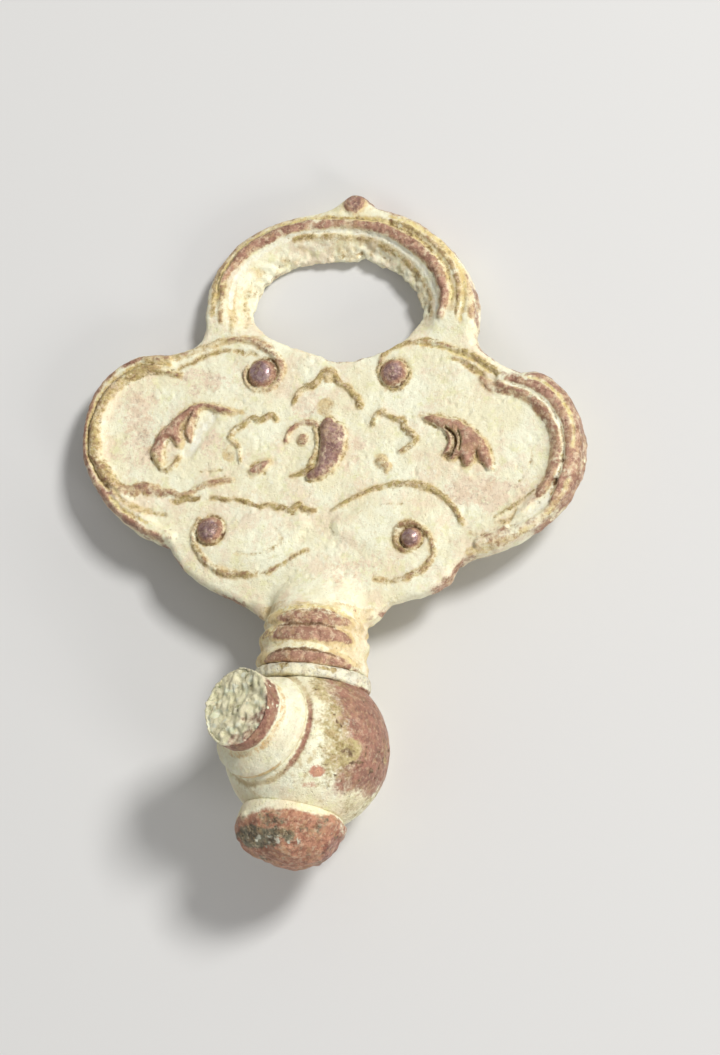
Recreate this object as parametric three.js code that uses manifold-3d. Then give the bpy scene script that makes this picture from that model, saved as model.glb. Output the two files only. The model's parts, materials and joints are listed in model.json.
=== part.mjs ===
// An old cast clock key: an ornamental bow with a ring to hang it by, a turned neck, and a ball
// with the broken roots of two winding pipes. The ball turns in the neck on a steel stem.
//
// The key is drawn in its own frame, in millimetres: the origin is the centre of the ball, +Y runs
// along the neck to the ring, and +Z comes out of the decorated face. At the end the whole key is
// laid down as it rests on a table, on the ball, the finial and the ring's left shoulder.

import * as THREE from "three";
import { mergeVertices } from "three/addons/utils/BufferGeometryUtils.js";
import Module from "manifold-3d";

const wasm = await Module();
wasm.setup();

// Heights above the middle of the ball.
const BACK = -0.95;
const FIELD = 0.65;
const RIM_CREST = 1.0;
const RING_CREST = 1.1;

// The bow's outline, as smooth runs that meet in notches: up the left side to the ring, then down
// the right side. The ring itself is an oval.
const LEFT_RUNS = [
  [[-3.6, 9.4], [-6.0, 10.8], [-8.8, 12.1], [-10.9, 13.6], [-11.9, 15.1]],
  [[-11.9, 15.1], [-14.4, 16.1], [-17.3, 18.4], [-19.3, 21.7], [-19.45, 24.8], [-18.3, 27.6],
    [-15.6, 29.45]],
  [[-15.6, 29.45], [-13.2, 29.55], [-11.3, 30.3], [-10.7, 31.4]],
];
const RIGHT_RUNS = [
  [[9.9, 31.2], [10.4, 30.2], [11.9, 29.2], [14.0, 28.3]],
  [[14.0, 28.3], [15.7, 28.3], [17.5, 26.6], [18.7, 24.2], [18.9, 22.2], [18.2, 19.9],
    [16.3, 17.6], [13.7, 15.8], [11.2, 14.7]],
  [[11.2, 14.7], [9.8, 13.8], [8.8, 12.5], [7.0, 11.6], [5.4, 11.2]],
  [[5.4, 11.2], [4.7, 10.2], [3.6, 9.4]],
];
const RING = { x: -0.4, y: 32.95, a: 8.55, b: 5.85, halfWidth: 1.9, foot: 30.3 };
const EYE = { x: -0.55, y: 33.05, a: 6.85, b: 4.05 };
const RIM = { inset: 0.68, halfWidth: 0.8 };
const INNER_BEAD = { inset: 1.75, halfWidth: 0.3, height: 0.2 };
const FINIAL = { x: 0.1, y: 40.2, halfWidth: 1.9, height: 1.7, depth: 1.0 };
const RING_BEAD = {
  halfWidth: 0.42,
  height: 0.3,
  line: [[-8.6, 30.6], [-9.6, 33.5], [-8.6, 36.7], [-5.2, 38.9], [-0.3, 39.4], [4.2, 38.2],
    [7.2, 35.6], [7.8, 33.0], [6.9, 30.9]],
};

// The raised scroll bands, from eye to tail.
const BAND = { halfWidth: 0.45, height: 0.4 };
const BANDS = [
  [[-4.5, 28.2], [-4.9, 29.6], [-6.8, 30.4], [-9.0, 30.3], [-11.4, 29.3]],
  [[3.2, 28.2], [3.6, 29.5], [5.4, 30.2], [7.4, 30.1], [9.0, 29.7]],
  [[-16.3, 19.4], [-14.2, 19.2], [-11.3, 18.7], [-8.4, 18.6], [-4.6, 18.1], [-0.8, 17.7]],
  [[0.4, 17.8], [2.9, 19.0], [5.6, 19.65], [8.3, 19.1], [10.8, 16.9]],
  [[-9.8, 16.3], [-9.6, 14.8], [-7.6, 13.2], [-5.0, 12.95], [-2.6, 13.8], [-1.1, 14.9]],
  [[7.1, 16.75], [8.4, 15.6], [8.3, 13.9], [6.7, 12.9], [4.3, 12.7]],
];

// The scrolls' round eyes: centre, radius and height.
const SCROLL_EYES = [
  [-5.7, 28.0, 1.15, 0.95], [4.4, 28.1, 1.1, 0.95], [-8.6, 16.2, 1.1, 0.95], [6.9, 15.6, 0.9, 0.8],
];

// The three curled leaves between the scrolls.
const LEAF_HEIGHT = 0.35;
const LEAVES = [
  [[-7.4, 25.3], [-10.0, 25.7], [-12.2, 24.7], [-13.6, 23.0], [-13.6, 21.4], [-12.5, 20.9],
    [-11.9, 21.6], [-12.6, 22.4], [-11.5, 22.7], [-10.9, 23.3], [-9.9, 24.6]],
  [[6.9, 24.8], [9.2, 24.6], [11.2, 23.5], [12.3, 21.9], [12.3, 21.0], [11.2, 21.3],
    [10.5, 21.0], [9.6, 21.8], [8.8, 21.9], [9.1, 22.9], [8.2, 24.0]],
  [[-3.4, 23.1], [-2.3, 24.4], [-0.3, 24.7], [1.0, 23.6], [0.9, 22.0], [-0.1, 20.6], [-1.4, 20.0],
    [-2.7, 20.4], [-1.2, 21.7], [-0.9, 23.1], [-2.1, 23.9]],
];

// Flower petals, drops and berries: centre, half length, half width and turn in degrees.
const PETAL_HEIGHT = 0.4;
const PETALS = [
  [-2.3, 26.4, 1.25, 0.6, 50], [-0.8, 27.9, 0.5, 0.5, 0], [1.3, 26.3, 1.3, 0.6, -40],
  [-6.0, 24.2, 1.1, 0.55, 10], [-7.2, 22.7, 1.2, 0.55, 80], [-5.4, 21.0, 0.9, 0.55, 20],
  [4.2, 24.6, 1.1, 0.55, -10], [5.8, 23.3, 1.0, 0.55, 60], [4.2, 21.3, 0.75, 0.6, 80],
  [-2.2, 23.1, 0.5, 0.5, 0],
];

// The neck and the swivel on the key's axis.
const NECK_FOOT = 5.75;
const NECK_PROFILE = [
  [3.95, NECK_FOOT], [4.0, 6.1], [4.0, 6.6], [3.75, 7.0], [3.7, 7.25], [3.9, 7.55], [3.95, 8.0],
  [3.85, 8.4], [3.6, 8.65], [3.7, 8.95], [3.8, 9.3], [3.65, 9.7], [3.3, 10.15], [2.6, 10.8],
  [1.7, 11.5], [0.9, 12.0],
];
const NECK_BORE = { radius: 1.75, top: 9.95 };
const COLLAR = { radius: 4.1, foot: 4.78, top: 5.7, spigotRadius: 1.72, spigotTop: 8.6, bore: 1.17 };
const STEM = { radius: 1.1, foot: 1.4, top: 9.8 };
const STEM_GROOVE = { radius: 0.62, foot: 8.8, top: 9.5 };
const KEEPER = { radius: 0.32, hole: 0.35, y: 9.15, z: -1.0, halfLength: 3.35 };
const FIT = 0.03;

// The ball and its two pipe roots. Distances along a pipe are from the ball's centre.
const BALL_RADIUS = 6.0;
const NECK_SEAT = 4.7;
const PIPE_SEAT = 4.45;
const SPIGOT_RADIUS = 1.5;
const SPIGOT_FOOT = 2.7;
const SIDE_ROOT = [
  [3.72, 4.5], [3.85, 4.7], [3.85, 5.1], [3.7, 5.3], [3.4, 5.6], [3.05, 5.9], [2.88, 6.15],
  [2.85, 6.5], [2.85, 9.4],
];
const LOWER_ROOT = [
  [3.6, 4.5], [3.7, 4.7], [3.85, 5.2], [3.95, 5.6], [3.92, 5.9], [3.7, 6.4], [3.3, 7.05],
  [2.7, 7.65], [1.8, 8.2], [0.8, 8.5],
];
const SIDE_DIRECTION = [-0.364, 0.173, 0.915];
const LOWER_DIRECTION = [-0.057, -0.994, 0.072];

// The side root's break: a slanted plane through a point on its axis.
const SIDE_BREAK = { along: 7.95, normal: [-0.35, 0.06, 0.935] };

// How the key lies, in degrees: its ring end down, and rolled a little to the left.
const PITCH = -7.15;
const ROLL = -2.55;

const ROUND = 32;
const BAND_STEPS = 12;
const BAND_SIDES = 8;
const LEAF_STEPS = 22;
const GRID = 0.004;
const UP = new THREE.Vector3(0, 1, 0);

const bronze = { color: 0xe0d0a4, roughness: 0.8, metalness: 0.1 };
const bareBronze = { color: 0xb79a86, roughness: 0.5, metalness: 0.4 };
const steel = { color: 0x6f5a50, roughness: 0.6, metalness: 0.6 };
const rustyBrass = { color: 0x9c6a58, roughness: 0.85, metalness: 0.2 };
const paleBrass = { color: 0xd6cfb4, roughness: 0.7, metalness: 0.2 };

// A closed three.js geometry as a solid that can be cut and joined.
function solid(geometry) {
  const bare = geometry.clone();
  bare.deleteAttribute("normal");
  bare.deleteAttribute("uv");
  const merged = mergeVertices(bare, 1e-4);
  return new wasm.Manifold(
    new wasm.Mesh({
      numProp: 3,
      vertProperties: merged.attributes.position.array,
      triVerts: new Uint32Array(merged.index.array),
    }),
  );
}

// A cut or joined solid as a named mesh. Its vertices are moved on to a fine grid, so that those
// that a cut left almost together become one, and the triangles between them go.
function piece(name, made, finish) {
  const { vertProperties, triVerts } = made.getMesh();
  const cut = new THREE.BufferGeometry();
  const places = vertProperties.map((value) => Math.round(value / GRID) * GRID);
  cut.setAttribute("position", new THREE.BufferAttribute(places, 3));
  cut.setIndex(new THREE.BufferAttribute(triVerts, 1));
  const geometry = mergeVertices(cut, GRID / 2);
  const corners = geometry.index.array;
  const kept = [];
  for (let i = 0; i < corners.length; i += 3) {
    const [a, b, c] = corners.slice(i, i + 3);
    if (a !== b && b !== c && c !== a) kept.push(a, b, c);
  }
  geometry.setIndex(kept);
  geometry.computeVertexNormals();
  const mesh = new THREE.Mesh(geometry, new THREE.MeshStandardMaterial(finish));
  mesh.name = name;
  return mesh;
}

// A body of revolution about Y from [radius, y] pairs, closed on the axis at both ends.
function turned(profile) {
  const points = profile.map(([radius, y]) => new THREE.Vector2(radius, y));
  points.unshift(new THREE.Vector2(0, points[0].y));
  points.push(new THREE.Vector2(0, points[points.length - 1].y));
  return new THREE.LatheGeometry(points, ROUND);
}

function rod(radius, from, to) {
  return turned([[radius, from], [radius, to]]);
}

// A piece drawn along +Y, turned to point along a direction.
function pointed(geometry, direction) {
  const axis = new THREE.Vector3(...direction).normalize();
  return geometry.applyQuaternion(new THREE.Quaternion().setFromUnitVectors(UP, axis));
}

function smooth(points) {
  return new THREE.SplineCurve(points.map(([x, y]) => new THREE.Vector2(x, y)));
}

// The outline run, moved into the metal by a distance.
function insetLine(run, distance) {
  const curve = smooth(run);
  const line = [];
  for (let i = 0; i <= BAND_STEPS; i++) {
    const at = curve.getPoint(i / BAND_STEPS);
    const along = curve.getTangent(i / BAND_STEPS);
    line.push([at.x + along.y * distance, at.y - along.x * distance]);
  }
  return line;
}

// A rounded band along a line, centred on a height, tapered to a point at each end.
function band(line, halfWidth, centre, halfHeight) {
  const curve = smooth(line);
  const positions = [];
  const faces = [];
  const start = curve.getPoint(0);
  positions.push(start.x, start.y, centre);
  for (let i = 1; i < BAND_STEPS; i++) {
    const t = i / BAND_STEPS;
    const at = curve.getPoint(t);
    const along = curve.getTangent(t);
    const taper = Math.min(1, Math.sqrt(4 * Math.min(t, 1 - t)));
    for (let j = 0; j < BAND_SIDES; j++) {
      const turn = (2 * Math.PI * j) / BAND_SIDES;
      const across = Math.cos(turn) * halfWidth * taper;
      const up = Math.sin(turn) * halfHeight * taper;
      positions.push(at.x - along.y * across, at.y + along.x * across, centre + up);
    }
  }
  const end = curve.getPoint(1);
  positions.push(end.x, end.y, centre);
  const last = positions.length / 3 - 1;
  const index = (i, j) => 1 + (i - 1) * BAND_SIDES + (j % BAND_SIDES);
  for (let j = 0; j < BAND_SIDES; j++) {
    faces.push(0, index(1, j + 1), index(1, j));
    faces.push(last, index(BAND_STEPS - 1, j), index(BAND_STEPS - 1, j + 1));
    for (let i = 1; i < BAND_STEPS - 1; i++) {
      faces.push(index(i, j), index(i + 1, j + 1), index(i + 1, j));
      faces.push(index(i, j), index(i, j + 1), index(i + 1, j + 1));
    }
  }
  const geometry = new THREE.BufferGeometry();
  geometry.setAttribute("position", new THREE.Float32BufferAttribute(positions, 3));
  geometry.setIndex(faces);
  return geometry;
}

// A raised line that stands on the field.
function raised(line, halfWidth, height) {
  return band(line, halfWidth, FIELD - 0.1, height + 0.1);
}

// A low dome or petal that stands on the field.
function dome(x, y, halfLength, halfWidth, height, turn) {
  const geometry = new THREE.SphereGeometry(1, 12, 6);
  geometry.scale(halfLength, halfWidth, height + 0.1);
  geometry.rotateZ(THREE.MathUtils.degToRad(turn));
  return geometry.translate(x, y, FIELD - 0.1);
}

// A flat shape from one height to another.
function slab(shape, from, to) {
  const sizes = { depth: to - from, bevelEnabled: false, curveSegments: 24 };
  return new THREE.ExtrudeGeometry(shape, sizes).translate(0, 0, from);
}

// The plate, up to the ring's lower half. Runs that meet share their end, so it is left out once.
function plateShape() {
  const shape = new THREE.Shape();
  const outline = [...LEFT_RUNS, ...RIGHT_RUNS].flatMap((run) => insetLine(run, 0));
  shape.moveTo(...outline[0]);
  for (const [x, y] of outline.slice(1)) {
    const gap = shape.currentPoint.distanceTo(new THREE.Vector2(x, y));
    if (gap > 1e-6) shape.lineTo(x, y);
  }
  return shape;
}

// The ring's oval metal, round in section, cut off where the plate takes over.
function ringSolid() {
  const oval = new THREE.TorusGeometry(1, 0.2, 10, 40);
  const place = oval.attributes.position;
  for (let i = 0; i < place.count; i++) {
    const around = Math.atan2(place.getY(i), place.getX(i));
    const across = (Math.hypot(place.getX(i), place.getY(i)) - 1) / 0.2;
    const up = place.getZ(i) / 0.2;
    place.setXYZ(
      i,
      RING.x + Math.cos(around) * (RING.a + across * RING.halfWidth),
      RING.y + Math.sin(around) * (RING.b + across * RING.halfWidth),
      up * RING_CREST,
    );
  }
  const plateSide = new THREE.BoxGeometry(40, 20, 10).translate(0, RING.foot - 10, 0);
  return solid(oval).subtract(solid(plateSide));
}

function makeBow() {
  const eyeShape = new THREE.Shape();
  eyeShape.absellipse(EYE.x, EYE.y, EYE.a, EYE.b, 0, 2 * Math.PI);
  let bow = solid(slab(plateShape(), BACK, FIELD));
  bow = bow.subtract(solid(slab(eyeShape, BACK - 1, FIELD + 1)));
  bow = bow.add(ringSolid());
  for (const run of [...LEFT_RUNS, ...RIGHT_RUNS.slice(0, 3)]) {
    bow = bow.add(solid(band(insetLine(run, RIM.inset), RIM.halfWidth, 0, RIM_CREST)));
    const inner = insetLine(run, INNER_BEAD.inset);
    bow = bow.add(solid(raised(inner, INNER_BEAD.halfWidth, INNER_BEAD.height)));
  }
  const bead = band(RING_BEAD.line, RING_BEAD.halfWidth, RIM_CREST - 0.15, RING_BEAD.height);
  bow = bow.add(solid(bead));
  const finial = new THREE.SphereGeometry(1, 16, 10);
  finial.scale(FINIAL.halfWidth, FINIAL.height, FINIAL.depth);
  bow = bow.add(solid(finial.translate(FINIAL.x, FINIAL.y, 0)));
  for (const line of BANDS) bow = bow.add(solid(raised(line, BAND.halfWidth, BAND.height)));
  for (const [x, y, radius, height] of SCROLL_EYES) {
    bow = bow.add(solid(dome(x, y, radius, radius, height, 0)));
  }
  for (const [x, y, length, width, turn] of PETALS) {
    bow = bow.add(solid(dome(x, y, length, width, PETAL_HEIGHT, turn)));
  }
  for (const leaf of LEAVES) {
    const shape = new THREE.Shape(smooth([...leaf, leaf[0]]).getPoints(LEAF_STEPS).slice(1));
    bow = bow.add(solid(slab(shape, FIELD - 0.5, FIELD + LEAF_HEIGHT)));
  }
  const below = new THREE.BoxGeometry(60, 60, 10).translate(0, 25, BACK - 5);
  bow = bow.subtract(solid(below));
  bow = bow.add(solid(turned(NECK_PROFILE)));
  bow = bow.subtract(solid(rod(NECK_BORE.radius, NECK_FOOT - 1, NECK_BORE.top)));
  const pinHole = rod(KEEPER.hole, -6, 6).rotateZ(Math.PI / 2);
  return bow.subtract(solid(pinHole.translate(0, KEEPER.y, KEEPER.z)));
}

function makeCollar() {
  const flange = solid(
    turned([
      [COLLAR.radius - 0.2, COLLAR.foot],
      [COLLAR.radius, COLLAR.foot + 0.3],
      [COLLAR.radius, COLLAR.top - 0.15],
      [COLLAR.radius - 0.15, COLLAR.top],
    ]),
  );
  return flange
    .add(solid(rod(COLLAR.spigotRadius, COLLAR.foot + 0.5, COLLAR.spigotTop)))
    .subtract(solid(rod(COLLAR.bore, COLLAR.foot - 1, COLLAR.spigotTop + 1)));
}

function makeStem() {
  return solid(
    turned([
      [STEM.radius, STEM.foot],
      [STEM.radius, STEM_GROOVE.foot],
      [STEM_GROOVE.radius, STEM_GROOVE.foot],
      [STEM_GROOVE.radius, STEM_GROOVE.top],
      [STEM.radius, STEM_GROOVE.top],
      [STEM.radius, STEM.top],
    ]),
  );
}

function makeKeeper() {
  const pin = rod(KEEPER.radius, -KEEPER.halfLength, KEEPER.halfLength).rotateZ(Math.PI / 2);
  return solid(pin.translate(0, KEEPER.y, KEEPER.z));
}

function makeBall() {
  let ball = solid(new THREE.SphereGeometry(BALL_RADIUS, 40, 24));
  ball = ball.subtract(solid(rod(BALL_RADIUS, NECK_SEAT, BALL_RADIUS + 1)));
  ball = ball.subtract(solid(rod(STEM.radius + FIT, STEM.foot - 0.1, BALL_RADIUS)));
  for (const direction of [SIDE_DIRECTION, LOWER_DIRECTION]) {
    const seat = pointed(rod(BALL_RADIUS, PIPE_SEAT, BALL_RADIUS + 1), direction);
    const bore = pointed(rod(SPIGOT_RADIUS + FIT, SPIGOT_FOOT - 0.1, BALL_RADIUS), direction);
    ball = ball.subtract(solid(seat)).subtract(solid(bore));
  }
  return ball;
}

function makeRoot(profile, direction) {
  const spigot = pointed(rod(SPIGOT_RADIUS, SPIGOT_FOOT, PIPE_SEAT + 0.5), direction);
  return solid(pointed(turned(profile), direction)).add(solid(spigot));
}

// The side root, cut off along its slanted break.
function makeSideRoot() {
  const at = new THREE.Vector3(...SIDE_DIRECTION).normalize().multiplyScalar(SIDE_BREAK.along);
  const beyond = pointed(new THREE.BoxGeometry(20, 10, 20).translate(0, 5, 0), SIDE_BREAK.normal);
  return makeRoot(SIDE_ROOT, SIDE_DIRECTION).subtract(
    solid(beyond.translate(at.x, at.y, at.z)),
  );
}

const key = new THREE.Group();
key.add(
  piece("bow", makeBow(), bronze),
  piece("neck_collar", makeCollar(), paleBrass),
  piece("keeper_pin", makeKeeper(), steel),
  piece("hub_ball", makeBall(), bareBronze),
  piece("swivel_stem", makeStem(), steel),
  piece("side_pipe_root", makeSideRoot(), paleBrass),
  piece("lower_pipe_root", makeRoot(LOWER_ROOT, LOWER_DIRECTION), rustyBrass),
);

// The key as it lies, then moved so that its box stands on the origin.
const lying = new THREE.Group();
key.rotation.set(THREE.MathUtils.degToRad(PITCH), THREE.MathUtils.degToRad(ROLL), 0, "YXZ");
lying.add(key);
lying.updateMatrixWorld(true);
const box = new THREE.Box3().setFromObject(lying, true);
key.position.set(-(box.min.x + box.max.x) / 2, -(box.min.y + box.max.y) / 2, -box.min.z);

export default lying;
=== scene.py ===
import json
import math

import bpy
import numpy as np
from mathutils import Matrix, Vector


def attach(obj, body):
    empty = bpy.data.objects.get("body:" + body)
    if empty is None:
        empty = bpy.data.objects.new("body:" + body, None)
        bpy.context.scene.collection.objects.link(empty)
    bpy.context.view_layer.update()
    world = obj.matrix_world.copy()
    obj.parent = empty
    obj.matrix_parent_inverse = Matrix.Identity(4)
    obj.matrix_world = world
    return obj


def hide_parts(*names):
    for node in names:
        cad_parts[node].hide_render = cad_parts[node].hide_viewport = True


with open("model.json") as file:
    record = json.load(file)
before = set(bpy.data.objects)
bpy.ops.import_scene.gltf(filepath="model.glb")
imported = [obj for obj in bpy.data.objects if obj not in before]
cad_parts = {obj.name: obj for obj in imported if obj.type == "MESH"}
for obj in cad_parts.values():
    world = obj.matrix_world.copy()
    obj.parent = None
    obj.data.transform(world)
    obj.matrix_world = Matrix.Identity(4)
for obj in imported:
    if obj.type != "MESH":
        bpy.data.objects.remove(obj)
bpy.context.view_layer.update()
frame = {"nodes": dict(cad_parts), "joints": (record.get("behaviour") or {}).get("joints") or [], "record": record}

# Everything is modelled in the key's own frame, in millimetres: the origin is the centre of the
# ball, +Y runs along the neck to the ring, and +Z comes out of the decorated face. Each finished
# mesh is then turned and scaled into the frame of the solids, where the key lies on a table.
MM = 0.001
swivel = frame["joints"][0]
back_mount = next(m for m in frame["record"]["mounts"] if m["name"] == "back")
ALONG = Vector(swivel["axis"]).normalized()
OUT = -Vector(back_mount["axis"])
OUT = (OUT - OUT.dot(ALONG) * ALONG).normalized()
ACROSS = ALONG.cross(OUT)
TURN = Matrix((ACROSS, ALONG, OUT)).transposed()
BALL_CENTRE = Vector(swivel["pos_m"])
KEY = Matrix.Translation(BALL_CENTRE) @ TURN.to_4x4() @ Matrix.Scale(MM, 4)

SEED = 7
# Corners to each side of the table of random values that the lumps are read from
LATTICE = 48
# Grid sizes of the remeshed skins, and the share of the bow's triangles that is kept
VOXEL = 0.12
BALL_VOXEL = 0.14
SIDE_VOXEL = 0.09
LOWER_VOXEL = 0.1
BOW_SHARE = 0.62
# Sides of the turned pieces, and the radius that closes them at their axis
TURNED_SIDES = 96
CLOSING_RADIUS = 0.02
# The lowest that the worn skin may reach, in metres
TABLE = 0.0

# Heights above the middle of the ball: the bow's back, its sunk field, and the ring's crest,
# from which the ring slopes down to its eye over a width
BACK = -0.95
FIELD = 0.62
RING_CREST = 0.95
RING_FOOT = -0.25
RING_SLOPE = 2.0
# Where the ring starts, along the key
RING_STARTS = (30.6, 32.6)
# The rounding of the bow's outer edge, of its eye and of its back edge
EDGE_ROUNDING = 0.55
EYE_ROUNDING = 0.35
BACK_ROUNDING = 0.3
# The oval round the neck's end that the relief keeps clear of: its middle and reaches
NECK_OVAL = (9.0, 3.6, 3.4)
# A chip in the ring's inner edge
RING_CHIP = (0.55, 37.45)

# Directions across the ball that place its patches: to its right, up it, and out of it
RIGHTWARDS = np.array([0.9439, 0.0941, -0.3164])
UPWARDS = np.array([-0.0082, 0.9649, 0.2623])
OUTWARDS = np.array([0.33, -0.245, 0.9116])

# The bow's edge: up the left side, over the ring and its finial, and down the right side
EDGE_RUNS = [
    [(-3.5, 9.3), (-4.9, 10.3), (-6.5, 11.05), (-8.2, 11.8), (-9.6, 12.6), (-10.7, 13.4),
     (-11.3, 14.2), (-11.8, 15.0)],
    [(-11.8, 15.0), (-13.1, 15.45), (-14.6, 16.15), (-16.1, 17.15), (-17.4, 18.45),
     (-18.4, 19.8), (-19.1, 21.2), (-19.45, 22.8), (-19.4, 24.6), (-19.05, 26.1),
     (-18.3, 27.5), (-17.2, 28.6), (-15.7, 29.45)],
    [(-15.7, 29.45), (-14.0, 29.55), (-12.3, 29.9), (-11.2, 30.5), (-10.75, 31.5)],
    [(-10.75, 31.5), (-10.85, 33.0), (-10.65, 34.7), (-10.0, 36.4), (-8.6, 38.1),
     (-6.2, 39.5), (-4.1, 40.1), (-2.5, 40.4), (-1.8, 40.62)],
    [(-1.8, 40.62), (-1.3, 41.0), (-0.8, 41.42), (-0.25, 41.65), (0.35, 41.62), (0.85, 41.32),
     (1.3, 40.9), (1.9, 40.62)],
    [(1.9, 40.62), (2.7, 40.42), (4.0, 40.0), (5.8, 39.05), (7.6, 37.6), (8.95, 35.8),
     (9.75, 34.0), (10.05, 32.4), (9.95, 31.1)],
    [(9.95, 31.1), (10.3, 30.3), (11.2, 29.5), (12.3, 28.85), (13.8, 28.25)],
    [(13.8, 28.25), (15.0, 28.3), (16.0, 27.9), (17.1, 26.9), (18.0, 25.6), (18.6, 24.3),
     (18.9, 22.9), (18.9, 21.5), (18.75, 20.6)],
    [(18.75, 20.6), (18.5, 20.1), (18.2, 19.2), (17.5, 18.2), (16.3, 17.0), (14.9, 15.95),
     (13.4, 15.2), (12.0, 14.75), (10.8, 14.35)],
    [(10.8, 14.35), (10.1, 13.7), (9.7, 12.9), (8.8, 12.2), (7.7, 11.7), (6.4, 11.4),
     (5.4, 11.1)],
    [(5.4, 11.1), (4.9, 10.6), (4.4, 9.9), (3.5, 9.3)],
]
EYE_EDGE = [
    (-7.6, 33.0), (-7.5, 33.9), (-7.1, 34.7), (-6.6, 35.35), (-5.6, 36.15), (-4.6, 36.6),
    (-3.6, 36.85), (-2.4, 36.98), (-1.2, 37.05), (0.1, 37.05), (0.4, 37.3), (0.75, 37.25),
    (1.4, 36.9), (2.4, 36.5), (3.4, 36.0), (4.3, 35.35), (5.1, 34.5), (5.6, 33.6),
    (5.75, 32.85), (5.6, 32.1), (5.25, 31.4), (4.75, 30.75), (3.75, 30.1), (2.8, 29.7),
    (1.8, 29.35), (0.7, 29.12), (-0.6, 29.1), (-1.7, 29.5), (-2.7, 29.8), (-4.2, 30.25),
    (-5.3, 30.7), (-6.3, 31.25), (-7.0, 31.9), (-7.5, 32.5),
]
NECK_PROFILE = [
    (0.0, 5.76), (3.92, 5.76), (4.06, 6.05), (4.04, 6.45), (3.85, 6.8), (3.72, 7.1), (3.84, 7.4),
    (3.97, 7.8), (3.9, 8.2), (3.66, 8.5), (3.66, 8.7), (3.82, 9.0), (3.7, 9.4), (3.42, 9.75),
    (3.38, 10.1), (3.45, 10.6), (3.4, 11.2), (3.2, 12.0), (2.7, 12.9), (1.8, 13.8), (0.0, 14.3),
]
# How far the neck's end is flattened at heights along it, where it fans out over the plate
FAN_HEIGHTS = [10.0, 10.6, 11.2, 12.0, 12.9, 13.8, 14.3]
FAN_SHARES = [1.0, 0.84, 0.66, 0.46, 0.34, 0.3, 0.28]

# Colour masks that the relief paints on the surface
MASKS = ("bare", "olive", "yellow", "polish", "pale", "tan", "dark", "pink")

# Lines of the relief: points, half widths along the line, height, and what shows on it.
# A height below nought is a groove. Later lines lie over earlier ones.
BROWN = dict(bare=0.95)
WORN = dict(bare=0.7, olive=0.3)
DIRT = dict(olive=0.9)
FAINT = dict(olive=0.45)
GOLD = dict(yellow=0.9)
# pale patina, which also serves as a painted highlight on the grooves and hollows it is laid on
PALE_AND_HIGHLIGHT = dict(pale=0.9)
# How much of each height the cast relief keeps, and how far its tan halo reaches
RELIEF = 1.4
HALO_REACH = 0.3
BROAD_FORMS = [
    # raised rims of the two lobes
    ([(-13.4, 29.0), (-15.6, 28.75), (-17.1, 27.9), (-18.2, 26.5), (-18.7, 24.8), (-18.75, 23.0),
      (-18.5, 21.6), (-17.7, 20.1), (-16.4, 18.6), (-14.9, 17.3), (-13.0, 16.2), (-11.8, 15.7)],
     [0.5, 0.9, 0.95, 0.95, 0.9, 0.7, 0.4], 0.26, dict(olive=0.22, yellow=0.3)),
    ([(12.6, 27.6), (14.4, 27.3), (15.8, 26.6), (17.0, 25.3), (17.8, 23.8), (18.0, 22.2),
      (17.7, 20.6), (16.9, 18.9), (15.4, 17.2), (13.6, 16.0), (12.0, 15.5)],
     [0.6, 1.1, 1.3, 1.3, 1.25, 0.8, 0.4], 0.26, dict(bare=0.68, tan=0.6)),
    # brown wear where the left lobe's lines run together
    ([(-18.6, 21.8), (-17.9, 20.3), (-16.9, 19.1), (-15.8, 18.9)], [0.3, 0.7, 0.7, 0.4], 0.05,
     dict(bare=0.6, olive=0.2)),
    # hollow beside the left leaf and inside the right lobe's foot, painted pale: pale patina and a painted
    # highlight on their lit slopes
    ([(-9.6, 24.7), (-10.5, 23.5), (-11.1, 22.1)], [0.6, 0.8, 0.5], -0.08, dict(pale=0.85)),
    ([(17.2, 20.0), (16.8, 19.0), (16.0, 18.1), (15.0, 17.3), (14.2, 16.9)], [0.3, 0.45, 0.3],
     -0.24, PALE_AND_HIGHLIGHT),
    # soft swelling of the lower scrolls
    ([(-7.6, 15.0), (-4.5, 15.9), (-2.0, 16.6)], [1.6, 1.9, 0.8], 0.14, {}),
    ([(1.5, 16.6), (4.5, 16.6), (7.5, 16.4)], [0.8, 2.2, 1.6], 0.16, {}),
]
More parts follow.
